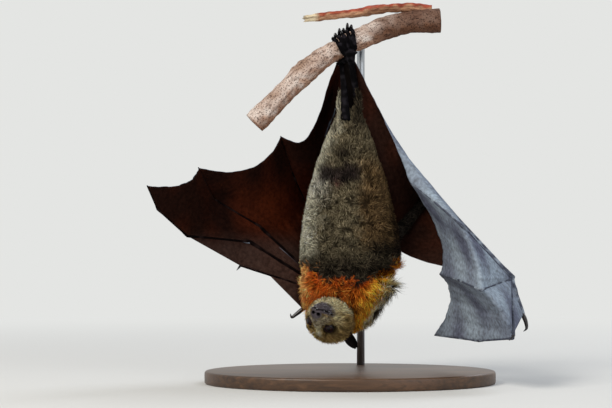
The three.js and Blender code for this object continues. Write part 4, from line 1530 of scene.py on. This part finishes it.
@dataclass
class Coat:
    """Hair of the body and head, as fine overlapping tufts that follow its lie.

    Attributes:
        material: Finish of every tuft.
        most: How many tufts one piece holds.
        root_shade: Brightness of the roots.
        middle_shade: Brightness half way up.
        spread: How much the brightness differs from tuft to tuft.
        sway: How far a tuft turns aside, as a spread.
        sunk: How deep its root is in the skin, in millimetres.
        droop: Share of its lift that it has lost at its tip.
        swell: Its width at three places from the root on, as shares.
        keel: Height of its ridge, as a share of half its width.
    """

    material: Material
    most: int = 11500
    root_shade: float = 0.1
    middle_shade: float = 0.6
    spread: float = 0.55
    sway: float = 0.25
    sunk: float = 0.6
    droop: float = 0.78
    swell: tuple[float, float, float] = (0.8, 1.0, 0.62)
    keel: float = 0.7

    def grow(self, name: str, tufts: Tufts, rng: np.random.Generator) -> None:
        """Bends each tuft out of the skin and places them all as pieces.

        Args:
            name: Name of the pieces, to which a number is added.
            tufts: The tufts.
            rng: Source of the random spread.
        """
        count = len(tufts.roots)
        side = unit(np.cross(tufts.lie, tufts.normals))
        sway = rng.normal(0, self.sway, (count, 1))
        at = tufts.roots - tufts.normals * self.sunk
        centres = [at]
        for share in (1 / 6, 0.5, 5 / 6):
            angle = (tufts.lift * (1 - self.droop * share))[:, None]
            way = unit(tufts.lie * np.cos(angle) + tufts.normals * np.sin(angle) + side * sway * share)
            at = at + way * (tufts.length / 3)[:, None]
            centres.append(at)
        rings = []
        for centre, full in zip(centres[:3], self.swell):
            half = (tufts.width * full / 2)[:, None]
            rings += [centre + side * half, centre - side * half, centre + tufts.normals * half * self.keel]
        points = np.stack([*rings, centres[3]], axis=1)
        glow = np.clip(np.exp(rng.normal(-0.1, self.spread, (count, 1))), 0.25, 2.8)
        root, middle = tufts.colour * self.root_shade, tufts.colour * self.middle_shade * glow
        tip = tufts.tip * glow
        shades = np.stack([root] * 3 + [middle] * 3 + [tip] * 4, axis=1)
        for start in range(0, count, self.most):
            pick = slice(start, start + self.most)
            self.place(f"{name}_{start // self.most + 1}", points[pick], shades[pick], tufts.unwrap[pick])

    def place(self, name: str, points: Array, shades: Array, unwrap: Array) -> None:
        """Writes one piece of the coat: its tufts' points, colours and bake map.

        Args:
            name: Name of the piece.
            points: Each tuft's points: three rings of three, and the tip.
            shades: Their colours.
            unwrap: Each tuft's place on the bake map.
        """
        count, each = points.shape[:2]
        quads = [(r + a, r + (a + 1) % 3, r + 3 + (a + 1) % 3, r + 3 + a) for r in (0, 3) for a in range(3)]
        tips = [(6 + a, 6 + (a + 1) % 3, 9) for a in range(3)] + [(2, 1, 0)]
        corners_of = np.array([c for face in quads for c in face] + [c for face in tips for c in face])
        sizes = np.array([4] * len(quads) + [3] * len(tips))
        loops = (np.arange(count)[:, None] * each + corners_of[None]).ravel()
        totals = np.tile(sizes, count)
        mesh = bpy.data.meshes.new(name)
        mesh.vertices.add(count * each)
        mesh.vertices.foreach_set("co", (points * MM).astype(np.float32).ravel())
        mesh.loops.add(len(loops))
        mesh.loops.foreach_set("vertex_index", loops.astype(np.int32))
        mesh.polygons.add(len(totals))
        mesh.polygons.foreach_set("loop_start", (np.cumsum(totals) - totals).astype(np.int32))
        mesh.update(calc_edges=True)
        paint(mesh, shades.reshape(-1, 3))
        across = [0, 1, 0.5, 0, 1, 0.5, 0.1, 0.9, 0.5, 0.5]
        lengthwise = [0, 0, 0.2, 0.4, 0.4, 0.5, 0.8, 0.8, 0.8, 1]
        patch = np.stack([across, lengthwise], axis=1)
        spots = (unwrap[:, None] * 0.99 + patch[None] * 0.003).reshape(-1, 2)
        layer = mesh.uv_layers.new(name="OFBake")
        layer.data.foreach_set("uv", spots[loops].astype(np.float32).ravel())
        part_of_bat(placed(mesh, name, [self.material]), "belly_fur" if "body" in name else "head_fur")


def along_skin(ways: Array, normals: Array) -> Array:
    """Directions pressed flat on a skin, with length 1."""
    return unit(ways - normals * np.sum(ways * normals, axis=1, keepdims=True))


def round_share(across: Array, up: Array) -> Array:
    """Share of a full turn, from 0 to 1, at which places lie round a middle."""
    return np.arctan2(up, across) / (2 * np.pi) + 0.5


def outside(points: Array, mesh: Mesh, margin: float, reach: float = 30.0) -> Array:
    """Which points see out of a closed mesh some way.

    Args:
        points: The points.
        mesh: The closed mesh.
        margin: Points nearer to its surface than this, in millimetres, count as outside.
        reach: So do points further from it than this.

    Returns:
        True or False for each point.
    """
    bm = bmesh.new()
    bm.from_mesh(mesh)
    tree = BVHTree.FromBMesh(bm)
    bm.free()
    looks = (0, -1, 0), (0.6, -0.5, -0.6), (-0.6, -0.5, -0.6), (0, 0.4, -1), (0.3, 1, 0.2)
    ways = [Vector(look).normalized() for look in looks]
    free = np.ones(len(points), bool)
    for i, p in enumerate(points * MM):
        spot, _, _, gap = tree.find_nearest(Vector(p), reach * MM)
        if spot is None or gap < margin * MM:
            continue
        hits = (tree.ray_cast(Vector(p), way)[:2] + (way,) for way in ways)
        free[i] = any(hit is None or normal.dot(way) < 0 for hit, normal, way in hits)
    return free


def scatter(
    mesh: Mesh, cover: Mesh, density: Callable[[Array], Array], rng: np.random.Generator
) -> tuple[Array, Array]:
    """Random places on a skin, without those that another closed skin hides.

    Args:
        mesh: The skin.
        cover: The other skin.
        density: Tufts for each square millimetre at given places.
        rng: Source of the random spread.

    Returns:
        The places and the skin's normals there.
    """
    mesh.calc_loop_triangles()
    index = np.empty(len(mesh.loop_triangles) * 3, np.int32)
    mesh.loop_triangles.foreach_get("vertices", index)
    index = index.reshape(-1, 3)
    points, normals = corners(mesh), corner_normals(mesh)
    a, b, c = (points[index[:, k]] for k in range(3))
    area = np.linalg.norm(np.cross(b - a, c - a), axis=1) / 2
    wanted = area * density((a + b + c) / 3)
    total = int(wanted.sum())
    pick = np.searchsorted(np.cumsum(wanted), rng.random(total) * wanted.sum())
    pick = np.minimum(pick, len(index) - 1)
    r1, r2 = np.sqrt(rng.random(total)), rng.random(total)
    share = np.stack([1 - r1, r1 * (1 - r2), r1 * r2], axis=1)
    places = sum(points[index[pick, k]] * share[:, k : k + 1] for k in range(3))
    facing = unit(sum(normals[index[pick, k]] * share[:, k : k + 1] for k in range(3)))
    keep = outside(places, cover, 0.5)
    return places[keep], facing[keep]


@dataclass(frozen=True)
class BodyHair:
    """Hair of the trunk, mantle, shoulders, thighs and upper arms, in millimetres and degrees.

    Attributes:
        length: Length on the belly.
        mantle_more: How much longer it is on the mantle.
        sides_more: How much longer at the mantle's sides.
        armpit_more: How much longer in the right armpit.
        feet_less: How much shorter towards the feet.
        arm_length: Length on the upper arms.
        width: Width on the belly.
        lift: How steeply it leaves the skin of the belly.
        cover: How often the tufts cover the skin.
    """

    length: float = 7.2
    mantle_more: float = 4.3
    sides_more: float = 4.5
    armpit_more: float = 6
    feet_less: float = 1.2
    arm_length: float = 4.5
    width: float = 0.8
    lift: float = 36
    cover: float = 2.9

    def habit(self, p: Array) -> tuple[Array, Array, Array]:
        """Length, width and lift of the hair at places on the body."""
        x, z = p[:, 0], p[:, 2]
        mantle, top = ease(z, 122, 106), ease(z, 285, 330)
        sides = mantle * (ease(x, 22, 42) + 0.5 * ease(x, -42, -56) + 0.9 * ease(x, 40, 48))
        slim = ease(arm_gap(p), 20, 12) * ease(np.abs(p[:, 1] - 5), 22, 42)
        armpit = np.exp(-(((x - 49) / 9) ** 2) - ((z - 125) / 9) ** 2)
        length = self.length + self.mantle_more * mantle + self.sides_more * sides
        length = length - self.feet_less * top + self.armpit_more * armpit
        length = (length * (1 - slim) + self.arm_length * slim) * (1 - 0.6 * ease(z, 66, 54))
        width = self.width - 0.06 * mantle - 0.2 * top
        return length, width, np.radians(self.lift + 10 * mantle + 8 * sides - 10 * top)

    def density(self, p: Array) -> Array:
        """Tufts for each square millimetre at places on the body."""
        length, width, _ = self.habit(p)
        return self.cover / (0.55 * length * width) * (1 + 0.5 * ease(p[:, 2], 122, 106))

    def crop(self, body: Mesh, head: Mesh, rng: np.random.Generator) -> Tufts:
        """The tufts of the body, which part over the belly and run up to the feet and down over the neck."""
        roots, normals = scatter(body, head, self.density, rng)
        length, width, lift = self.habit(roots)
        x, depth = across_body(roots)
        tail = ease(roots[:, 2], 165, 235)
        head_way = ease(roots[:, 2], 134, 106)
        outwards = ease(np.abs(x), 12, 45) * (0.35 + 0.5 * ease(np.abs(x), 24, 46))
        push = np.stack([np.sign(x) * outwards, np.zeros(len(x)), tail - 0.9 * head_way], axis=1)
        lie = push + stray(roots, 26, 50) * (0.55 - 0.3 * tail)[:, None] + 0.45 * stray(roots, 9, 60)
        lie = lie + rng.normal(0, 0.28, roots.shape)
        clumps = np.clip(1 + 0.32 * ripple(roots, 6, 70) + 0.22 * ripple(roots, 15, 71), 0.3, 2)[:, None]
        height = np.clip((roots[:, 2] - 45) / 300, 0, 1)
        count = len(roots)
        return Tufts(
            roots, normals, along_skin(lie, normals),
            length=length * rng.uniform(0.7, 1.25, count),
            width=width * rng.uniform(0.75, 1.2, count),
            lift=lift * rng.uniform(0.6, 1.4, count),
            colour=MARKINGS.body(roots) * clumps, tip=MARKINGS.tips(roots) * clumps,
            unwrap=np.stack([round_share(x, depth - 5), height], axis=1),
        )


@dataclass(frozen=True)
class HeadHair:
    """Short hair of the head, smallest towards the nose, in millimetres and degrees.

    Attributes:
        length: Length at the nose.
        back_more: How much longer it is at the back of the head.
        width: Width at the nose.
        back_wider: How much wider at the back of the head.
        lift: How steeply it leaves the skin at the nose.
        cover: Tufts for each square millimetre, before the changes from place to place.
    """

    length: float = 3.2
    back_more: float = 4.6
    width: float = 0.44
    back_wider: float = 0.26
    lift: float = 44
    cover: float = 2.2

    def density(self, p: Array) -> Array:
        """Tufts for each square millimetre at places on the head: none on the lids and nostrils."""
        h = HEAD.to_head(p)
        lid = np.linalg.norm(mirrored(h) - EYE, axis=1)
        nostril = np.linalg.norm(mirrored(h) - NOSTRIL, axis=1)
        hair = (1.06 - MARKINGS.bare_face(h)) * ease(lid, 6.3, 7.4) * ease(nostril, 4, 6)
        return self.cover * hair * (0.8 + 0.5 * ease(h[:, 1], 8, 22))

    def crop(self, head: Mesh, body: Mesh, rng: np.random.Generator) -> Tufts:
        """The tufts of the head, which run back from the nose."""
        roots, normals = scatter(head, body, self.density, rng)
        h = HEAD.to_head(roots)
        count = len(roots)
        ones = np.ones(count)
        aside = 0.35 * np.sign(h[:, 0]) * ease(np.abs(h[:, 0]), 2, 12)
        backwards = HEAD.turned(np.stack([aside, -ones, 0.1 * ones], axis=1))
        lie = backwards + 0.45 * stray(roots, 12, 80) + rng.normal(0, 0.32, roots.shape)
        back = ease(h[:, 1], 34, 6)
        height = np.clip((h[:, 1] + 30) / 75, 0, 1)
        colour = MARKINGS.face(roots) * np.clip(1 + 0.3 * ripple(roots, 5, 90), 0.5, 1.6)[:, None]
        return Tufts(
            roots, normals, along_skin(lie, normals),
            length=(self.length + self.back_more * back) * rng.uniform(0.7, 1.3, count),
            width=(self.width + self.back_wider * back) * rng.uniform(0.75, 1.2, count),
            lift=np.radians(self.lift + 8 * back) * rng.uniform(0.6, 1.4, count),
            colour=colour, tip=layered(colour * 1.5, (MARKINGS.muzzle_tips, MARKINGS.bare_face(h))),
            unwrap=np.stack([round_share(h[:, 0], h[:, 2]), height], axis=1),
        )


@dataclass
class Bat:
    """The whole animal."""

    head: Head
    body: Body
    wings: tuple[Wing, Wing]

    def build(self) -> None:
        """Builds the skin, the coat, the eyes and the claws."""
        rng = np.random.default_rng(SEED)
        head, body = self.head.shell(), self.body.shell()
        coat = Coat(CoatFinish().make())
        horn = HornFinish().make()
        coat.grow("coat_body", BodyHair().crop(body, head, rng), rng)
        coat.grow("coat_head", HeadHair().crop(head, body, rng), rng)
        self.skin(head, body)
        eye = EyeFinish().make()
        for side in Side:
            self.head.eyeball(side, eye)
        for wing in self.wings:
            wing.claws(horn)
        Feet().claws(horn)

    def skin(self, head: Mesh, body: Mesh) -> None:
        """Joins every stretch of skin into one piece, in place of the flesh nodes."""
        paint(body, MARKINGS.body(corners(body)) * 0.35)
        face = corners(head)
        furry = 1 - MARKINGS.bare_face(HEAD.to_head(face))
        paint(head, MARKINGS.face(face) * (1 - 0.45 * furry)[:, None])
        wear(head, SkinPart.FURRED.value)
        bare = MARKINGS.bare_face(HEAD.to_head(np.array([p.center for p in head.polygons]) / MM)) > 0.5
        head.polygons.foreach_set("material_index", bare.astype(np.int32))
        parts = [body, head, *self.body.legs()]
        for ring in self.head.lids():
            wear(ring, SkinPart.BARE.value)
            paint(ring, plain(self.head.rim_colour, len(ring.vertices)))
            parts.append(ring)
        parts += [self.head.ear(side) for side in Side]
        for wing in self.wings:
            parts += wing.bones() + wing.membranes()
        materials = [
            SkinFinish("furred_skin", 0.8, 1.0, 3.0, 0.5, 0.03).make(),
            SkinFinish("bare_skin", 0.5, 0.7, 2.0, 0.35).make(),
            MembraneFinish("wing_inside", 0.5, 0x6a4a40, 0.1).make(),
            MembraneFinish("wing_outside", 0.5, 0xb4b5bc, 0.35).make(),
            SkinFinish("leg_skin", 0.27, 0.7, 1.6, 0.3, 0.7).make(),
        ]
        other = "stand_", "perch_", "eye_", "claw_"
        flesh = [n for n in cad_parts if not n.startswith(other) and "_claw_" not in n]
        part_of_bat(placed(joined(parts), "bat_skin", materials), "bare_skin", *flesh)


# ---------------------------------------------------------------- perch, feet's claws and stand


@dataclass
class Perch:
    """Cut length of branch with a curled strip of peeled bark along its top."""

    stations: tuple[tuple[float, float, float, float], ...] = (
        (-105, -12, 286, 12.6), (-77, -10, 314, 12.2), (-44.5, -6, 346, 12.6), (-27.5, -3, 359, 12.0),
        (-11, -1, 369, 11.6), (7, 0, 378, 11.6), (41, 1.5, 391.5, 12.8), (69, 2.5, 397.5, 13.3),
        (99, 4, 399.5, 13.6),
    )
    strip: tuple[tuple[float, float, float, float, float], ...] = (
        (-47, -3, 401.5, 5, 4), (-20, 1, 404.5, 7, 4.4), (8, 4, 407.5, 8, 4.6), (32, 5, 412.5, 8.5, 5),
        (62, 5, 414, 8, 4.4), (90, 5, 412, 6, 4),
    )
    knots: tuple[tuple[tuple[float, float, float], float, float], ...] = (
        ((-42, -18, 344), 5.0, 2.2), ((-58, -8, 348), 7.0, 1.6), ((60, -12, 398), 6.0, 1.4),
        ((25, 12, 378), 7.0, 1.8),
    )
    shaded_underside: int = 0xc08a5c
    right_end: int = 0x7a5a46

    def centre(self) -> Path:
        """Centre line of the branch."""
        return through([s[:3] for s in self.stations])

    def branch(self) -> None:
        """The branch: knotted bark outside, end grain at both cuts."""
        stops = np.linspace(0, 1, len(self.stations))
        mesh = limb(self.centre(), 150, stops, [s[3] for s in self.stations], 56)
        bm = bmesh.new()
        bm.from_mesh(mesh)
        lay = bm.loops.layers.uv.new("Lay")
        line = self.centre()(np.linspace(0, 1, 600))
        ends = line[0], line[-1]
        caps = [f for f in bm.faces if len(f.verts) > 8]
        for face in bm.faces:
            for loop in face.loops:
                p = np.array(loop.vert.co) / MM
                if face in caps:
                    near = min(ends, key=lambda e: np.linalg.norm(p - e))
                    side = p - near
                    loop[lay].uv = (side[0] * 0.08 + side[2] * 0.03, side[1] * 0.08)
                else:
                    i = int(np.argmin(np.linalg.norm(line - p, axis=1)))
                    side = p - line[i]
                    loop[lay].uv = (math.atan2(side[1], side[2]) / (2 * math.pi), i / 600 * 3.2)
        for face in caps:
            face.material_index = 1
        bmesh.ops.inset_region(bm, faces=caps, thickness=1.2 * MM, depth=0.0)
        bm.to_mesh(mesh)
        bm.free()
        p, n = corners(mesh), corner_normals(mesh)
        lift = 0.7 * ripple(p, 46, 100) + 0.45 * ripple(p, 13, 101) + 0.16 * ripple(p, 4.5, 102)
        for spot, reach, height in self.knots:
            away = np.linalg.norm(p - spot, axis=1) / reach
            lift += height * np.exp(-(away**2)) - 1.5 * height * np.exp(-((away / 0.35) ** 2))
        lift *= ease(np.minimum(*(np.linalg.norm(p - end, axis=1) for end in ends)), 10, 18)
        move_corners(mesh, p + n * (lift - 0.3)[:, None])
        # Painted shade: the bark darker and browner where it faces down.
        under = ease(n[:, 2] + 0.2 * ripple(p, 12, 104), 0.0, -0.7)
        paint(mesh, layered(
            plain(WHITE, len(p)),
            (self.shaded_underside, 0.75 * under),
            (self.right_end, 0.9 * ease(p[:, 0] + 8 * ripple(p, 20, 105), 5, 50)),
        ))
        piece = placed(mesh, "perch_wood", [BarkFinish().make(), CutWoodFinish().make()])
        part_of_bat(piece, "bark", "perch_branch")

    def bark_strip(self) -> None:
        """The strip of peeled bark, curled over and torn at its low end."""
        line = through([s[:3] for s in self.strip])
        sizes = through([(s[3], s[4], 0) for s in self.strip])
        mesh = limb(line, 120, [0, 1], [1, 1], 24)
        p = corners(mesh)
        dense = line(np.linspace(0, 1, 400))
        place = np.array([int(np.argmin(np.linalg.norm(dense - q, axis=1))) for q in p]) / 399.0
        middle, size = line(place), sizes(place)
        run = unit(line(np.clip(place + 0.01, 0, 1)) - line(np.clip(place - 0.01, 0, 1)))
        up = unit(np.array([0, 0, 1.0]) - run * run[:, 2:3])
        wide = np.cross(up, run)
        off = p - middle
        a, b = np.sum(off * wide, axis=1), np.sum(off * up, axis=1)
        curl = np.arctan2(b, a)
        furl = 1 + 0.16 * np.sin(3 * curl + place * 9) + 0.1 * ripple(p, 9, 110)
        torn = 1 - 0.45 * ease(place, 0.07, 0.0) * (0.5 + 0.5 * np.sin(curl * 4))
        along_run = np.sum(off * run, axis=1)
        moved = middle + wide * (a * size[:, 0] * furl * torn)[:, None]
        moved += up * (b * size[:, 1] * furl * torn)[:, None]
        moved += run * (along_run - 5 * ease(place, 0.04, 0) * (0.5 + 0.5 * np.sin(curl * 3 + 1)))[:, None]
        move_corners(mesh, moved)
        layer = mesh.uv_layers.new(name="Lay")
        index = np.empty(len(mesh.loops), np.int32)
        mesh.loops.foreach_get("vertex_index", index)
        spots = np.stack([curl / 6.28, place * 3], axis=1)[index]
        layer.data.foreach_set("uv", spots.astype(np.float32).ravel())
        finish = PeelFinish()
        paint(mesh, layered(
            plain(finish.tan, len(p)),
            (finish.rust, ease(b + 0.3 * ripple(p, 8, 111), -0.1, 0.6)),
            (finish.cream, ease(place + 0.02 * ripple(p, 5, 112), 0.1, 0.04)),
        ))
        part_of_bat(placed(mesh, "perch_peel", [finish.make()]), "peeled_bark", "perch_bark_strip")


@dataclass
class Feet:
    """Claws of the ten toes, hooked round the branch."""

    tip_x: tuple[tuple[float, ...], tuple[float, ...]] = (
        (-16, -11.6, -7.2, -2.8, 1.6), (-19, -14, -9, -4, 1.5))
    last_toe: tuple[tuple[float, float], ...] = ((118, 9.6), (68, 3.5))
    claw_arc: tuple[tuple[tuple[float, float], ...], ...] = (
        ((105, 10.4), (92, 9.2), (83, 6.6)),
        ((82, 3.2), (103, 2.6), (124, 0.9)),
    )
    claw_reach: tuple[tuple[float, ...], ...] = ((0.68, 0.95, 0.8, 1.08, 0.74), (1.3, 1, 1.4, 1.1, 0.9))

    @staticmethod
    def round_perch(x: float, degrees: float, height: float) -> Array:
        """Point near the branch: at x along it, at an angle round it and a height over its bark."""
        perch = Perch()
        samples = perch.centre()(np.linspace(0, 1, 81))
        centre = samples[np.argmin(np.abs(samples[:, 0] - x))]
        radius = min(perch.stations, key=lambda s: np.linalg.norm(np.array(s[:3]) - centre))[3] + height
        angle = math.radians(degrees)
        return np.array([x, centre[1] - radius * math.cos(angle), centre[2] + radius * math.sin(angle)])

    def claws(self, material: Material) -> None:
        """Builds the claws of each foot as one piece, in place of the CAD ones."""
        rows = zip(Side, self.tip_x, self.last_toe, self.claw_arc, self.claw_reach)
        for side, tips, last, arc, reaches in rows:
            hooks = []
            for x, reach in zip(tips, reaches):
                bend = [self.round_perch(x, degrees, height * reach) for degrees, height in arc]
                line = through([self.round_perch(x, *last), *bend])
                hooks.append(limb(line, 24, [0, 0.2, 0.6, 1], [1.7, 1.6, 1.1, 0.2], 10))
            nodes = [f"claw_{side.value}_{toe}" for toe in range(1, 6)]
            part_of_bat(placed(joined(hooks), f"toe_horn_{side.value}", [material]), "claw", *nodes)


@dataclass
class Stand:
    """Plain display stand: a flat oval wooden plate and one bent steel rod."""

    rod_radius: float = 4.5
    rod_x: float = 14
    rod_y: float = 92
    bend: float = 24
    perch_height: float = 380.5
    foot_height: float = 6
    reach: float = 3
    edge: float = 2.5

    def base(self) -> None:
        """The oval plate with softly rounded rims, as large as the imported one."""
        low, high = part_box("stand_base")
        bm = bmesh.new()
        bmesh.ops.create_circle(bm, cap_ends=True, segments=128, radius=1.0)
        outline = bm.faces[:]
        bmesh.ops.scale(bm, vec=((high.x - low.x) / 2, (high.y - low.y) / 2, 1), verts=bm.verts)
        grown = bmesh.ops.extrude_face_region(bm, geom=outline)
        lifted = [v for v in grown["geom"] if isinstance(v, bmesh.types.BMVert)]
        bmesh.ops.translate(bm, vec=(0, 0, high.z - low.z), verts=lifted)
        rims = [e for e in bm.edges if abs(e.verts[0].co.z - e.verts[1].co.z) < 1e-6]
        bmesh.ops.bevel(
            bm, geom=rims, offset=self.edge * MM, segments=4, profile=0.5, affect="EDGES", material=-1)
        bmesh.ops.recalc_face_normals(bm, faces=bm.faces)
        centre = (low + high) / 2
        bmesh.ops.translate(bm, vec=(centre.x, centre.y, low.z), verts=bm.verts)
        plate = placed(mesh_of(bm, "base"), "stand_plate", [OiledWoodFinish().make()])
        part_of_bat(plate, "base_wood", "stand_base")

    def rod(self) -> None:
        """The bent rod, from the plate into the back of the branch."""
        top = self.perch_height - self.bend
        bent = [
            (self.rod_x, self.rod_y - self.bend * (1 - math.cos(angle)), top + self.bend * math.sin(angle))
            for angle in np.linspace(0, math.pi / 2, 20)
        ]
        foot = self.rod_x, self.rod_y, self.foot_height
        points = np.array([foot, *bent, (self.rod_x, self.reach, self.perch_height)])
        mesh = tube(points, np.full(len(points), self.rod_radius), 32)
        part_of_bat(placed(mesh, "stand_steel", [BrushedSteelFinish().make()]), "rod_steel", "stand_rod")


# ---------------------------------------------------------------- studio


@dataclass
class Studio:
    """Plain pale floor and backdrop, soft lamps and the camera; places are in metres."""

    colour: int = 0xe4e5e3
    paper: int = 0xd9d9d6
    sky: int = 0xf4f6f8
    sky_strength: float = 0.42
    floor_half: float = 30.0
    near: float = 0.4
    far: float = 1.5
    lamp_rows: tuple[tuple[str, tuple[float, float, float], float, float, int], ...] = (
        ("key", (-1.5, -1.8, 2.2), 1.3, 66, 0xfffaf2),
        ("fill", (1.7, -2.1, 1.1), 1.8, 17, 0xf2f6ff),
        ("rim", (1.3, 1.3, 2.0), 1.2, 26, 0xeef4ff),
    )
    lamp_aim: tuple[float, float, float] = (0, 0, 0.2)
    camera_at: tuple[float, float, float] = (-0.0484, -2.5, 0.1973)
    lens: float = 133.7
    sensor: float = 36.0
    sight: float = 50.0

    @staticmethod
    def seen(tree: Tree) -> Socket:
        """1 for rays from the camera, also by way of a mirror or through glass; 0 for light on its way."""
        rays = add_node(tree, "LightPath").outputs
        seen = rays["Is Camera Ray"]
        for ray in ("Is Glossy Ray", "Is Transmission Ray"):
            seen = add_node(tree, "Math", operation="MAXIMUM", n0=seen, n1=rays[ray]).outputs[0]
        return seen

    def floor(self) -> None:
        """A flat sheet that keeps the stand's shadow and fades into the backdrop's colour further off."""
        bm = bmesh.new()
        bmesh.ops.create_grid(bm, x_segments=1, y_segments=1, size=self.floor_half)
        material, tree, shader = new_material("studio_paper")
        set_inputs(tree, shader, Base_Color=rgba(self.paper), Roughness=0.95, Specular_IOR_Level=0.1)
        place = add_node(tree, "TexCoord").outputs["Object"]
        away = add_node(tree, "VectorMath", operation="LENGTH", n0=place)
        fade = add_node(tree, "MapRange", interpolation_type="SMOOTHSTEP",
                        Value=away.outputs["Value"], n1=self.near, n2=self.far)
        share = add_node(tree, "Math", operation="MULTIPLY", n0=fade.outputs[0], n1=self.seen(tree))
        glow = add_node(tree, "Emission", Color=rgba(self.colour))
        mixed = add_node(tree, "MixShader", Fac=share.outputs[0], n1=shader.outputs[0], n2=glow.outputs[0])
        output = next(node for node in tree.nodes if node.type == "OUTPUT_MATERIAL")
        tree.links.new(mixed.outputs[0], output.inputs["Surface"])
        placed(mesh_of(bm, "studio_floor"), "studio_floor", [material])

    def lamps(self) -> None:
        """One broad key from above in front, a weaker fill and a cool lamp from the right."""
        for name, at, size, power, code in self.lamp_rows:
            lamp = bpy.data.lights.new(name, "AREA")
            lamp.size = size
            lamp.energy = power
            lamp.color = tint(code)
            holder = bpy.data.objects.new(name, lamp)
            holder.location = at
            holder.rotation_euler = (Vector(self.lamp_aim) - Vector(at)).to_track_quat("-Z", "Y").to_euler()
            bpy.context.scene.collection.objects.link(holder)
        world = bpy.data.worlds.new("studio")
        world.use_nodes = True
        tree = world.node_tree
        tree.nodes.clear()
        light = add_node(tree, "Background", Color=rgba(self.sky), Strength=self.sky_strength)
        backdrop = add_node(tree, "Background", Color=rgba(self.colour), Strength=1.0)
        mixed = add_node(tree, "MixShader", Fac=self.seen(tree), n1=light.outputs[0], n2=backdrop.outputs[0])
        add_node(tree, "OutputWorld", Surface=mixed.outputs[0])
        bpy.context.scene.world = world

    def camera(self) -> None:
        """A level camera a little left of the body's middle."""
        data = bpy.data.cameras.new("camera")
        data.lens = self.lens
        data.sensor_width = self.sensor
        data.clip_end = self.sight
        camera = bpy.data.objects.new("camera", data)
        camera.location = self.camera_at
        camera.rotation_euler = (math.pi / 2, 0, 0)
        bpy.context.scene.collection.objects.link(camera)
        bpy.context.scene.camera = camera
        bpy.context.scene.view_settings.view_transform = "Standard"


def main() -> None:
    """Builds the studio, the stand, the perch and the bat."""
    logging.basicConfig(level=logging.INFO, format="%(name)s: %(message)s")
    studio = Studio()
    studio.camera()
    studio.floor()
    studio.lamps()
    stand = Stand()
    stand.base()
    stand.rod()
    perch = Perch()
    perch.branch()
    perch.bark_strip()
    Bat(Head(), Body(), (LEFT_WING, RIGHT_WING)).build()
    bpy.context.view_layer.update()


if __name__ == "__main__":
    main()
